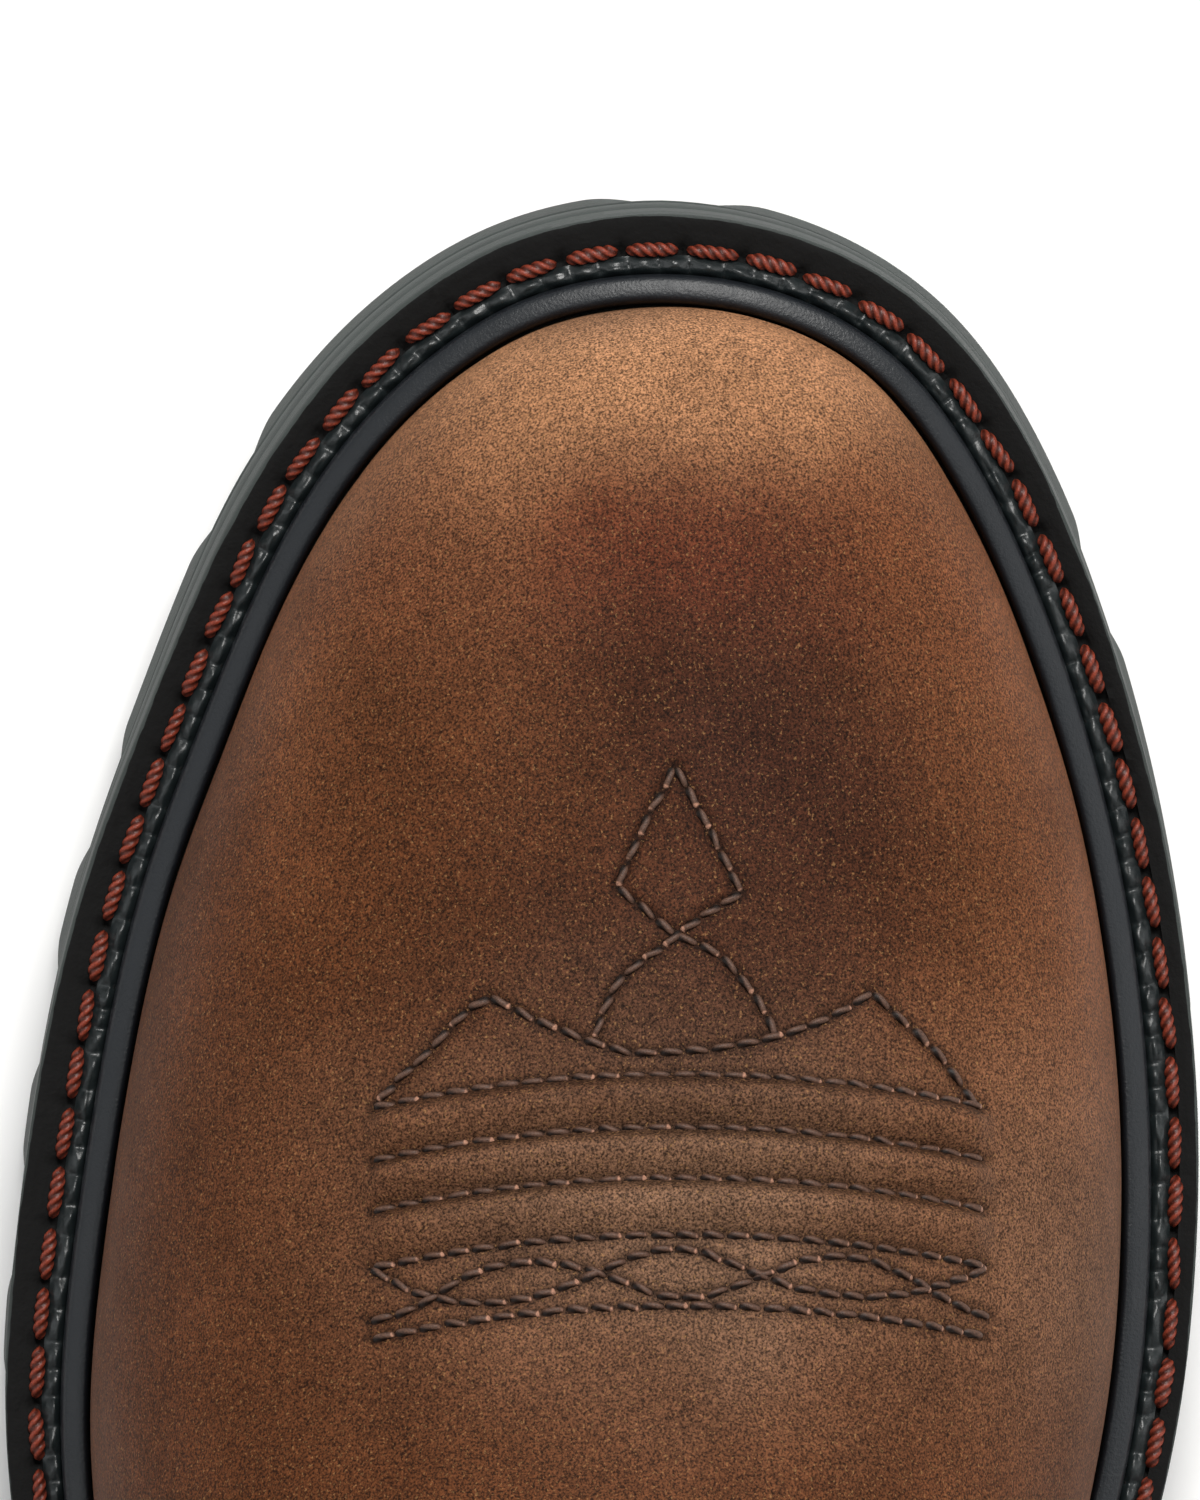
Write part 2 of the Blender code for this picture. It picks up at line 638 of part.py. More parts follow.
def make_heel(block_material, cap_material):
    """Heel block with ribs and its lugged top lift."""
    top = HEEL_HEIGHT - FIT
    base = CAP_THICK + FIT
    levels = ((0.0045, base, HEEL_BREAST + 0.001), (0.0034, base + 0.005, HEEL_BREAST + 0.002),
              (0.0042, base + 0.0055, HEEL_BREAST + 0.0012), (0.0038, base + 0.0075, HEEL_BREAST + 0.0016),
              (0.0028, base + 0.008, HEEL_BREAST + 0.0026), (0.0018, base + 0.0135, HEEL_BREAST + 0.0036),
              (0.0026, base + 0.014, HEEL_BREAST + 0.0028), (0.0022, base + 0.016, HEEL_BREAST + 0.0032),
              (0.0012, base + 0.0165, HEEL_BREAST + 0.0042), (0.0004, top, HEEL_BREAST + 0.005))
    heel_solid("heel", [heel_loop(*level) for level in levels], block_material)
    cap_levels = ((0.0064, 0.0, HEEL_FACE_HALF - 0.0012), (0.0056, 0.0008, HEEL_FACE_HALF - 0.0004),
                  (0.0046, CAP_THICK, HEEL_FACE_HALF))
    loops = [heel_loop(*level) for level in cap_levels]
    cap = heel_solid("heel_cap", loops, cap_material)
    notches = []
    for x in (-0.022, -0.003, 0.014):
        for side in (1, -1):
            for_plan = np.array([[x - 0.0025, side * 0.017], [x + 0.0025, side * 0.017],
                                 [x + 0.0035, side * 0.05], [x - 0.0035, side * 0.05]])
            low = np.column_stack([for_plan, np.full(4, -0.002)])
            high = np.column_stack([for_plan, np.full(4, LUG_DEPTH)])
            notches.append(prism(low, high))
    for y in (-0.012, 0.012):
        for_plan = np.array([[0.021, y - 0.0025], [0.06, y - 0.0035], [0.06, y + 0.0035], [0.021, y + 0.0025]])
        low = np.column_stack([for_plan, np.full(4, -0.002)])
        high = np.column_stack([for_plan, np.full(4, LUG_DEPTH)])
        notches.append(prism(low, high))
    points, faces = joined(notches)
    apply_boolean(cap, new_object("notch_tool", points, faces, cap_material), "DIFFERENCE")


def make_midsole(material):
    """Thin layer between outsole and welt with a softly rounded edge."""
    base = OUTSOLE_THICK + FIT
    loops = [sole_loop(-0.0001, base, 0.76), sole_loop(0.0001, base + MIDSOLE_THICK / 2, 0.6),
             sole_loop(-0.0001, base + MIDSOLE_THICK, 0.42)]
    stack_solid("midsole", loops, material)


def make_welt(material):
    """Strip round the upper with a raised bead and a trough for the lock stitch."""
    base = OUTSOLE_THICK + MIDSOLE_THICK + 2 * FIT
    top = base + WELT_THICK
    loops = [inner_loop(0.0016, base), inner_loop(0.0016, top - 0.0006)]
    bead = ((FIT, 0.0004), (0.0007, 0.75), (0.0019, 1.0), (0.0030, 0.7), (0.0036, 0.0))
    share = np.linspace(0, 1, SIDE_STEPS + 1)
    rise = BEAD_RISE * steady((0.0, 0.42, 0.56, 1.0), (0.0, 0.0, 1.0, 1.0), share)
    rise = np.concatenate([rise, rise[-2:0:-1]])
    shift = 0.0013 * (1 - rise / BEAD_RISE)
    for out, up in bead:
        loop = inner_loop(out, top)
        flat = inner_loop(out + 0.0013, top)
        mix = (shift / 0.0013)[:, None]
        loop = loop * (1 - mix) + flat * mix
        loop[:, 2] += rise * min(up, 1.0)
        loops.append(loop)
    loops += [inner_loop(0.0056, top - 0.0005), sole_loop(-0.0006, top, 0.0),
              sole_loop(-0.0002, top - 0.0003, 0.0), sole_loop(0.0, top - 0.0008, 0.05),
              sole_loop(0.0, base, 0.3)]
    ring_solid("welt", loops, material)


def make_insole(material):
    """Footbed that lies inside the upper."""
    base = OUTSOLE_THICK + MIDSOLE_THICK + 2 * FIT
    inside = -(TUCK_IN + UPPER_INSET + WALL + 0.0005)
    loops = [inner_loop(inside, base), inner_loop(inside, base + INSOLE_THICK)]
    stack_solid("insole", loops, material)


def row_places():
    """Row positions of the toe's dome and of the stations behind it, shared by every layer."""
    a = np.sin(np.linspace(1, 0, TOE_ROWS + 1)[:-1] * math.pi / 2)
    fine = np.arange(0, LAST_FINE_STATION, FOOT_STEP)
    return a, np.concatenate([fine, np.arange(LAST_FINE_STATION, COLLAR + 1)])


def layer_grid(inset, reach):
    """Rows of a layer from the toe's front edge to its own back edge."""
    b = np.linspace(-1, 1, 2 * HALF_COLUMNS + 1)[None, :]
    a, s = row_places()
    rows = np.minimum(s[:, None], reach(b) + 0 * s[:, None])
    return np.vstack([toe_point(a[:, None], b, inset), body_point(rows, b, inset)])


def make_upper(material):
    """Hollow shell, open underneath and at the collar."""
    outer = layer_grid(UPPER_INSET, lambda b: COLLAR)
    inner = layer_grid(UPPER_INSET + WALL, lambda b: COLLAR)
    rows, columns = outer.shape[:2]
    thick("upper", outer.reshape(-1, 3), inner.reshape(-1, 3), grid_faces(rows, columns).tolist(), material)


def make_vamp(material):
    """Overlay from the toe to the instep with a tongue up the shaft."""
    def reach(b):
        return VAMP_EDGE + TONGUE_REACH * np.exp(-(b / TONGUE_WIDTH) ** 4)
    grids = [layer_grid(inset, reach) for inset in (0.0, OVERLAY_THICK)]
    rows, columns = grids[0].shape[:2]
    thick("vamp", grids[0].reshape(-1, 3), grids[1].reshape(-1, 3), grid_faces(rows, columns).tolist(), material)


def make_counter(material):
    """Overlay round the heel, both flanks joined over the back seam."""
    table = np.array(COUNTER_EDGE)
    places = row_places()[1]
    s = np.unique(np.clip(places, table[0, 0], table[-1, 0]))
    first = steady(table[:, 0], table[:, 1], s)[:, None]
    columns = np.linspace(0, 1, HALF_COLUMNS + 1)[None, :]
    outer, inner, faces = [], [], []
    for side in (1, -1):
        b = side * np.maximum(columns, first)
        start = sum(len(part) for part in outer)
        outer.append(body_point(s[:, None], b, 0.0).reshape(-1, 3))
        inner.append(body_point(s[:, None], b, OVERLAY_THICK).reshape(-1, 3))
        quads = grid_faces(len(s), HALF_COLUMNS + 1, start)
        faces += (quads if side > 0 else quads[:, ::-1]).tolist()
    thick("counter", np.vstack(outer), np.vstack(inner), faces, material)


def make_side_seam(name, side, material):
    """Raised strip on the side of the shaft."""
    s = np.linspace(8.6, 15.2, 9)[:, None]
    middle = 1 / (1 + station(s)[..., 7])
    near = body_point(s, side * middle, 0.0)
    far = body_point(s, side * (middle + 0.02), 0.0)
    span = np.linalg.norm(far - near, axis=-1) / 0.02
    b = side * (middle + np.array([[-0.5, -0.17, 0.17, 0.5]]) * SEAM_WIDTH / span)
    crown = np.array([[0.0009, 0.0, 0.0, 0.0009]])
    outer = body_point(s, b, crown + 0 * b)
    inner = body_point(s, b, OVERLAY_THICK)
    thick(name, outer.reshape(-1, 3), inner.reshape(-1, 3), grid_faces(9, 4).tolist(), material)


def make_binding(material):
    """Folded strip over the collar."""
    b = np.linspace(-1, 1, 2 * HALF_COLUMNS + 1)[:-1]
    inner_face = UPPER_INSET + WALL + FIT
    section = ((OVERLAY_THICK, 1, 0.0), (FIT, 1, 0.0), (FIT, 0, 0.0002), (0.0009, 0, 0.0013),
               (0.0028, 0, 0.0016), (inner_face + 0.0006, 0, 0.0013), (inner_face + BINDING_THICK, 0, 0.0002),
               (inner_face + BINDING_THICK, 1, 0.0), (inner_face, 1, 0.0), (inner_face, 0, FIT),
               (OVERLAY_THICK, 0, FIT))
    loops = []
    for inset, low, lift in section:
        near = body_point(COLLAR - 0.05, b, inset)
        top = body_point(COLLAR - 1e-9, b, inset)
        fall = 0.05 * BINDING_DROP / np.linalg.norm(top - near, axis=-1)
        loop = body_point(COLLAR - fall, b, inset) if low else top
        loop = loop + np.array([0.0, 0.0, lift])
        loops.append(loop)
    ring_solid("collar_binding", loops, material)


def make_strap(name, side, material):
    """Pull loop over the collar."""
    across = np.linspace(-0.5, 0.5, 4)[None, :]
    span = np.linalg.norm(body_point(COLLAR - 0.5, side * 0.52, 0.0) - body_point(COLLAR - 0.5, side * 0.48, 0.0))
    b = side * (0.5 + across * 0.04 * STRAP_WIDTH / span)
    inner_leg = UPPER_INSET + WALL + 4 * FIT + BINDING_THICK
    s = np.linspace(COLLAR - 1.45, COLLAR - 1e-9, 4)[:, None]
    skins = []
    for grow in (STRAP_THICK, 0.0):
        outside = body_point(s, b, -grow)
        inside = body_point(s[::-1], b, inner_leg + grow)
        top_out, top_in = outside[-1], inside[0]
        middle = (top_out + top_in) / 2
        rise = np.array([0.0, 0.0, STRAP_RISE])
        turn = np.linspace(0, math.pi, 7)[:, None, None]
        arch = middle + rise + (top_out - middle) * np.cos(turn)
        arch = arch + np.array([0.0, 0.0, 1.0]) * np.sin(turn) * (inner_leg / 2 + grow)
        skins.append(np.concatenate([outside, arch, inside]).reshape(-1, 3))
    rows = len(skins[0]) // 4
    thick(name, skins[0], skins[1], grid_faces(rows, 4).tolist(), material)


def main():
    """Build every piece."""
    for item in list(bpy.data.objects):
        bpy.data.objects.remove(item)
    rubber = new_material("outsole_rubber", RUBBER, 0.7)
    make_outsole(rubber)
    make_midsole(new_material("midsole_rubber", RUBBER, 0.65))
    make_welt(new_material("welt_black", BLACK_EDGE, 0.6))
    make_heel(new_material("heel_rubber", BLACK_EDGE, 0.65), new_material("cap_rubber", RUBBER, 0.7))
    make_insole(new_material("footbed", FOOTBED, 0.8))
    make_upper(new_material("upper_leather", DARK_LEATHER, 0.7))
    make_vamp(new_material("vamp_leather", LEATHER, 0.7))
    make_counter(new_material("counter_leather", LEATHER, 0.7))
    make_side_seam("side_seam_lateral", 1, new_material("seam_leather_lateral", DARK_LEATHER, 0.7))
    make_side_seam("side_seam_medial", -1, new_material("seam_leather_medial", DARK_LEATHER, 0.7))
    make_binding(new_material("binding_leather", DARK_LEATHER, 0.65))
    make_strap("pull_strap_lateral", 1, new_material("strap_lateral", WEBBING, 0.85))
    make_strap("pull_strap_medial", -1, new_material("strap_medial", WEBBING, 0.85))


main()
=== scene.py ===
"""Detailed model of a western work boot, left foot, riding on its CAD frame.

Frame in metres: +X from heel to toe, +Y to the outer side, +Z up, origin at
the middle of the heel's flat ground face. The same outline, sole line and
section tables as the CAD part drive every surface here, on finer grids.
"""
import math

import bpy
import numpy as np
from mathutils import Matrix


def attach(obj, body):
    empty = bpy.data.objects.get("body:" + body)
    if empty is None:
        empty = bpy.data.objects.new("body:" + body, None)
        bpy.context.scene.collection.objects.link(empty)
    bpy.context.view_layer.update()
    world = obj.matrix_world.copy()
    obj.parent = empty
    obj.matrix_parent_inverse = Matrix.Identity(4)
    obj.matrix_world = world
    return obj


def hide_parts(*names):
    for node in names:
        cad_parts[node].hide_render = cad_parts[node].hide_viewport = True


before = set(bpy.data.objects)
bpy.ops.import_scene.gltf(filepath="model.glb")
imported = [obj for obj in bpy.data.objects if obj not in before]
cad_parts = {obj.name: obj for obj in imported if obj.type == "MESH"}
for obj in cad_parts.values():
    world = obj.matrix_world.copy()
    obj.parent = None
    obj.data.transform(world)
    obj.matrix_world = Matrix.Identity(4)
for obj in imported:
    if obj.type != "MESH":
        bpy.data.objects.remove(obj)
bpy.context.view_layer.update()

MM = 0.001

# Sizes of the last and the sole
HEEL_BACK = -0.0355
LAST_LENGTH = 0.2920
BALL_WIDTH = 0.1010
HEEL_OVERHANG = 0.0065
TOE_OVERHANG = 0.0115
SOLE_BACK = HEEL_BACK - HEEL_OVERHANG
SOLE_LENGTH = HEEL_OVERHANG + LAST_LENGTH + TOE_OVERHANG
HEEL_HEIGHT = 0.030
HEEL_BREAST = 0.034
HEEL_FACE_HALF = 0.036
SHAFT_HEIGHT = 0.256
SHAFT_GIRTH_SWELL = 0.0163

# Thicknesses and clearances
OUTSOLE_THICK = 0.005
LUG_DEPTH = 0.004
LUG_INWARD = 0.014
LUG_REACH = 0.0006
LUG_TAPER = 0.0025
LUG_TOP = 0.0038
LUG_TOP_FLARE = 0.88
LUG_BEVEL = 0.020
MIDSOLE_THICK = 0.003
WELT_THICK = 0.0032
BEAD_RISE = 0.0031
WELT_MARGIN = 0.0090
FIT = 0.0003
STAND = 0.0002
OVERLAY_THICK = 0.0015
WALL = 0.002
UPPER_INSET = OVERLAY_THICK + FIT + 0.0001
INSOLE_THICK = 0.0035
TUCK_IN = 0.0012
CAP_THICK = 0.008
BINDING_THICK = 0.0012
BINDING_DROP = 0.009
STRAP_THICK = 0.002
STRAP_WIDTH = 0.025
STRAP_RISE = 0.013
SEAM_WIDTH = 0.006
STITCH_MARGIN = 0.0056
WELT_BASE = OUTSOLE_THICK + MIDSOLE_THICK + 2 * FIT
WELT_TOP = WELT_BASE + WELT_THICK

# Stitches: pitch, length and radius
PATTERN_STITCH = (2.40 * MM, 2.5 * MM, 0.45 * MM)
EDGE_STITCH = (2.6 * MM, 2.3 * MM, 0.36 * MM)
LOCK_STITCH = (6.0 * MM, 5.25 * MM, 0.70 * MM)

# Outline of the last where the leather meets the welt
# columns: share of LAST_LENGTH from the heel, outer and inner share of BALL_WIDTH
OUTLINE = (
    (0.000, 0.000, 0.000),
    (0.007, 0.098, 0.098),
    (0.029, 0.199, 0.198),
    (0.070, 0.285, 0.281),
    (0.138, 0.329, 0.322),
    (0.224, 0.336, 0.313),
    (0.320, 0.340, 0.295),
    (0.412, 0.375, 0.309),
    (0.498, 0.442, 0.378),
    (0.566, 0.483, 0.450),
    (0.628, 0.498, 0.493),
    (0.686, 0.484, 0.507),
    (0.744, 0.458, 0.503),
    (0.799, 0.422, 0.483),
    (0.857, 0.361, 0.442),
    (0.908, 0.297, 0.388),
    (0.946, 0.229, 0.332),
    (0.975, 0.146, 0.265),
    (0.992, 0.065, 0.183),
    (1.000, -0.059, 0.059),
)

# Underside of the outsole without its lugs
# columns: share of SOLE_LENGTH from the heel, share of HEEL_HEIGHT
SOLE_LINE = (
    (0.000, 1.000),
    (0.266, 1.000),
    (0.285, 0.980),
    (0.312, 0.912),
    (0.361, 0.767),
    (0.426, 0.533),
    (0.490, 0.290),
    (0.539, 0.167),
    (0.577, 0.133),
    (0.742, 0.133),
    (0.780, 0.150),
    (0.820, 0.197),
    (0.877, 0.300),
    (0.942, 0.440),
    (1.000, 0.600),
)

# Margin of the welt and flare of the outsole beyond it, in shares of WELT_MARGIN
# columns: share of the way from heel to toe, outer welt, inner welt, outer flare, inner flare
MARGINS = (
    (0.00, 0.70, 0.70, 0.05, 0.05),
    (0.30, 0.74, 0.70, 0.04, 0.04),
    (0.50, 0.86, 0.76, 0.02, 0.02),
    (0.64, 0.98, 0.84, 0.03, 0.00),
    (0.70, 1.00, 0.88, 0.06, 0.00),
    (0.76, 0.96, 0.885, 0.11, 0.02),
    (0.837, 0.93, 0.905, 0.18, 0.08),
    (0.883, 0.925, 0.945, 0.235, 0.105),
    (0.93, 0.965, 0.967, 0.24, 0.15),
    (1.00, 0.995, 0.995, 0.22, 0.22),
)

# Lugs along the sole's edge in front of the arch
# columns: side (1 outer, -1 inner), start and stop in shares of the way from heel to toe
LUGS = (
    (1, 0.548, 0.584),
    (1, 0.608, 0.644),
    (1, 0.668, 0.704),
    (1, 0.728, 0.765),
    (1, 0.790, 0.860),
    (1, 0.884, 0.993),
    (-1, 0.548, 0.584),
    (-1, 0.608, 0.644),
    (-1, 0.668, 0.704),
    (-1, 0.719, 0.838),
    (-1, 0.860, 0.987),
)

# Crown line of the toe box before it rounds down to the toe
# columns: share of LAST_LENGTH from the heel, share of SHAFT_HEIGHT
TOE_CROWN = (
    (0.646, 0.286),
    (0.710, 0.266),
    (0.780, 0.250),
    (0.860, 0.243),
    (0.940, 0.243),
    (1.020, 0.246),
)

# Sections of the upper from the ball to the collar; row 10 stands at the back of the heel
# columns: crown x and base x in shares of LAST_LENGTH, crown z and base z in shares of
# SHAFT_HEIGHT, outer and inner swell in shares of SHAFT_GIRTH_SWELL, belly height share,
# turn under, roundness, lift of the sides in shares of SHAFT_HEIGHT
STATIONS = (
    (0.7096, 0.266, 0.7096, 0.151, 0.00, 0.00, 0.13, 0.12, 2.50, 0.000),
    (0.640, 0.292, 0.638, 0.151, 0.00, 0.00, 0.13, 0.12, 2.33, 0.000),
    (0.580, 0.330, 0.566, 0.151, 0.00, 0.03, 0.15, 0.14, 2.15, 0.000),
    (0.532, 0.378, 0.491, 0.151, 0.03, 0.18, 0.19, 0.18, 2.05, 0.000),
    (0.495, 0.436, 0.409, 0.151, 0.13, 0.34, 0.24, 0.24, 2.00, 0.000),
    (0.467, 0.500, 0.313, 0.151, 0.20, 0.40, 0.28, 0.32, 2.00, 0.000),
    (0.448, 0.559, 0.210, 0.151, 0.19, 0.36, 0.31, 0.42, 2.00, 0.000),
    (0.434, 0.613, 0.115, 0.151, 0.16, 0.27, 0.33, 0.54, 2.00, 0.000),
    (0.426, 0.660, 0.046, 0.151, 0.15, 0.22, 0.35, 0.68, 2.00, 0.000),
    (0.419, 0.699, 0.009, 0.151, 0.15, 0.20, 0.37, 0.80, 2.00, 0.000),
    (0.415, 0.730, 0.000, 0.151, 0.16, 0.21, 0.39, 0.88, 2.00, 0.000),
    (0.409, 0.770, -0.017, 0.242, 0.20, 0.26, 0.42, 0.95, 2.00, 0.000),
    (0.404, 0.808, -0.023, 0.344, 0.29, 0.36, 0.45, 1.00, 2.00, 0.004),
    (0.399, 0.844, -0.021, 0.453, 0.41, 0.48, 0.47, 1.00, 2.05, 0.010),
    (0.396, 0.879, -0.027, 0.578, 0.56, 0.63, 0.49, 1.00, 2.10, 0.020),
    (0.393, 0.918, -0.047, 0.723, 0.78, 0.85, 0.50, 1.00, 2.10, 0.036),
    (0.390, 0.959, -0.067, 0.867, 0.93, 1.00, 0.50, 1.00, 2.10, 0.060),
    (0.388, 1.000, -0.080, 1.000, 1.00, 1.06, 0.50, 1.00, 2.10, 0.086),
)
ZIP = 10
COLLAR = len(STATIONS) - 1

# Edge of the counter
# columns: station, first kept share of the half section
COUNTER_EDGE = (
    (5.05, 0.775),
    (6.0, 0.757),
    (7.0, 0.711),
    (8.0, 0.667),
    (9.0, 0.643),
    (10.0, 0.640),
    (10.5, 0.672),
    (11.0, 0.726),
    (11.5, 0.795),
    (12.0, 0.868),
    (12.5, 0.934),
)
VAMP_EDGE = 5.0
TONGUE_REACH = 2.3
TONGUE_WIDTH = 0.24

# Decorative stitching on the vamp in mm, seen from above
# columns: along the boot, across it
KITE = (
    ((211.4, -7.1), (205.5, -4.0), (199.8, -1.5)),
    ((211.4, -7.1), (205.3, -10.4), (199.3, -13.4)),
    ((199.8, -1.5), (197.5, -4.5), (195.3, -7.3), (193.6, -10.9), (191.0, -13.5), (187.8, -15.7),
     (185.5, -16.7)),
    ((199.3, -13.4), (197.4, -10.2), (195.3, -7.3), (192.8, -3.9), (190.6, -1.5), (187.0, 0.1),
     (185.4, 0.7)),
)
WING = (
    ((189.4, 10.6), (187.5, 6.8), (185.5, 1.8), (184.4, -1.6), (184.2, -7.2), (184.8, -12.7),
     (186.2, -18.6), (188.4, -23.7), (189.8, -25.9)),
    ((189.4, 10.6), (187.7, 13.1), (184.0, 16.6), (180.9, 19.9), (179.1, 21.3)),
    ((189.8, -25.9), (186.8, -29.1), (184.0, -32.1), (181.1, -34.3), (178.5, -36.1)),
)
WAVES = (
    ((163.6, 22.0), (161.7, 18.3), (160.5, 12.9), (161.1, 6.3), (163.4, 0.2), (165.6, -7.0),
     (163.0, -15.3), (161.1, -22.9), (161.5, -31.0), (163.4, -37.0)),
    ((158.6, 22.0), (160.0, 17.6), (163.0, 12.6), (164.3, 6.6), (163.3, 0.2), (161.0, -7.5),
     (163.0, -15.3), (164.8, -22.6), (162.8, -29.1), (160.2, -33.5), (158.6, -37.2)),
)
# Corded rows: peak of each arc along the boot in mm, and whether a roll follows behind it
ROWS = ((182.0, 1), (177.0, 1), (172.2, 1), (166.9, 0), (160.2, 0))
ROW_MIDDLE = -7.4
ROW_HALF = 29.2
ROW_DROP = 3.3
ROLL_HEIGHT = 1.75

# Distance between the leather's pores in mm
PORE_MM = 1.0

# Colours as picked on screen
HEX = {
    "leather": "#4b2914", "tan": "#a37654", "honey": "#6c4126", "red": "#522614",
    "dark": "#351b10", "olive": "#674c3a", "speck": "#b98a58", "shaft": "#4a2a1a",
    "black": "#131313", "bead": "#12171c", "side": "#353b39", "lip": "#191f20",
    "thread": "#692a1b", "thread_dark": "#453127", "lining": "#8d6f52", "footbed": "#94795c",
    "strap": "#3c251a", "floor": "#fcfcfc",
}


def linear(name):
    """Screen colour as linear red, green, blue and alpha."""
    code = HEX[name]
    value = np.array([int(code[i:i + 2], 16) / 255 for i in (1, 3, 5)])
    value = np.where(value <= 0.04045, value / 12.92, ((value + 0.055) / 1.055) ** 2.4)
    return tuple(value.tolist()) + (1.0,)


def spline(knots, values, at):
    """Natural cubic through the values: second derivatives from a tridiagonal system."""
    knots = np.asarray(knots, float)
    values = np.asarray(values, float).reshape(len(knots), -1)
    at = np.asarray(at, float)
    step = np.diff(knots)
    count = len(knots)
    system = np.eye(count)
    right = np.zeros_like(values)
    slope = np.diff(values, axis=0) / step[:, None]
    inside = np.arange(1, count - 1)
    system[inside, inside - 1] = step[:-1]
    system[inside, inside] = 2 * (step[:-1] + step[1:])
    system[inside, inside + 1] = step[1:]
    right[1:-1] = 6 * np.diff(slope, axis=0)
    bend = np.linalg.solve(system, right)
    i = np.clip(np.searchsorted(knots, at) - 1, 0, count - 2)
    width = step[i][..., None]
    before = (at - knots[i])[..., None]
    after = (knots[i + 1] - at)[..., None]
    cubic = bend[i] * after ** 3 + bend[i + 1] * before ** 3
    start = (values[i] / width - bend[i] * width / 6) * after
    end = (values[i + 1] / width - bend[i + 1] * width / 6) * before
    return cubic / (6 * width) + start + end


def steady(knots, values, at):
    """Cubic through the values with harmonic-mean tangents, so that it never swings past them."""
    knots = np.asarray(knots, float)
    values = np.asarray(values, float)
    step = np.diff(knots)
    slope = np.diff(values) / step
    tangent = np.zeros(len(knots))
    same = slope[1:] * slope[:-1] > 0
    safe = np.where(same, slope[1:] + slope[:-1], 1.0)
    tangent[1:-1] = np.where(same, 2 * slope[1:] * slope[:-1] / safe, 0.0)
    tangent[0], tangent[-1] = slope[0], slope[-1]
    at = np.clip(np.asarray(at, float), knots[0], knots[-1])
    i = np.clip(np.searchsorted(knots, at) - 1, 0, len(knots) - 2)
    t = (at - knots[i]) / step[i]
    start = values[i] * (1 + 2 * t) * (1 - t) ** 2 + values[i + 1] * t * t * (3 - 2 * t)
    return start + step[i] * (tangent[i] * t * (1 - t) ** 2 - tangent[i + 1] * t * t * (1 - t))


def soft(low, high, value):
    """Smooth step from 0 at low to 1 at high: 3t squared less 2t cubed."""
    t = np.clip((value - low) / (high - low), 0, 1)
    return t * t * (3 - 2 * t)


def value_noise(x, y, cell, seed):
    """Noise from -1 to 1: random values on a lattice of the given cell, blended by smooth steps."""
    u, v = np.asarray(x) / cell, np.asarray(y) / cell
    i, j = np.floor(u).astype(int), np.floor(v).astype(int)
    table = np.random.default_rng(seed).uniform(-1, 1, (256, 256))
    a, b = u - i, v - j
    a, b = a * a * (3 - 2 * a), b * b * (3 - 2 * b)
    low = table[i % 256, j % 256] * (1 - a) + table[(i + 1) % 256, j % 256] * a
    high = table[i % 256, (j + 1) % 256] * (1 - a) + table[(i + 1) % 256, (j + 1) % 256] * a
    return low * (1 - b) + high * b


def run_lengths(points):
    """Distance along a path to each of its points."""
    return np.concatenate([[0.0], np.cumsum(np.linalg.norm(np.diff(points, axis=0), axis=1))])


def last_edges(samples=1500):
    """Outline of the last as a closed cubic over chord length: per side the share of the way,
    points and outward normals."""
    table = np.array(OUTLINE)
    x = HEEL_BACK + LAST_LENGTH * table[:, 0]
    outer = np.column_stack([x, BALL_WIDTH * table[:, 1]])
    inner = np.column_stack([x, -BALL_WIDTH * table[:, 2]])[-2:0:-1]
    ring = np.vstack([outer, inner])
    wrapped = np.vstack([ring[-4:], ring, ring[:5]])
    knots = run_lengths(wrapped)
    heel, toe, again = knots[4], knots[4 + len(outer) - 1], knots[4 + len(ring)]
    sides = {}
    for side, first, second in ((1, heel, toe), (-1, again, toe)):
        at = np.linspace(first, second, samples)
        point = spline(knots, wrapped, at)
        way = spline(knots, wrapped, at + 1e-5) - spline(knots, wrapped, at - 1e-5)
        way /= np.hypot(way[:, 0], way[:, 1])[:, None]
        normal = np.column_stack([-way[:, 1], way[:, 0]])
        length = run_lengths(point)
        if normal[samples // 2, 1] * side < 0:
            normal = -normal
        sides[side] = (length / length[-1], point, normal)
    return sides


EDGES = last_edges()


def edge_at(side, share, out):
    """Outline point at a share of the way from heel to toe, moved along its outward normal."""
    way, point, normal = EDGES[side]
    return tuple(np.interp(share, way, point[:, k]) + out * np.interp(share, way, normal[:, k])
                 for k in (0, 1))


def share_at_x(side, x):
    """Share of the way from heel to toe at a given x."""
    way, point, _ = EDGES[side]
    return np.interp(x, point[:, 0], way)


def sole_under(x):
    """Height of the outsole's underside: the sole line's table scaled by the heel's height."""
    table = np.array(SOLE_LINE)
    share = (np.asarray(x, float) - SOLE_BACK) / SOLE_LENGTH
    return HEEL_HEIGHT * steady(table[:, 0], table[:, 1], share)


def feather(x):
    """Height at which the upper stands: the sole line plus the layers below."""
    return sole_under(x) + OUTSOLE_THICK + MIDSOLE_THICK + 2 * FIT + STAND


def margin(side, share, flare):
    """Margin of the welt beyond the last plus a share of the outsole's flare."""
    table = np.array(MARGINS)
    column = 1 if side > 0 else 2
    reach = steady(table[:, 0], table[:, column], share)
    return WELT_MARGIN * (reach + flare * steady(table[:, 0], table[:, column + 2], share))


def station(s):
    """Columns of the section table at a row position."""
    return spline(np.arange(len(STATIONS)), np.array(STATIONS), s)


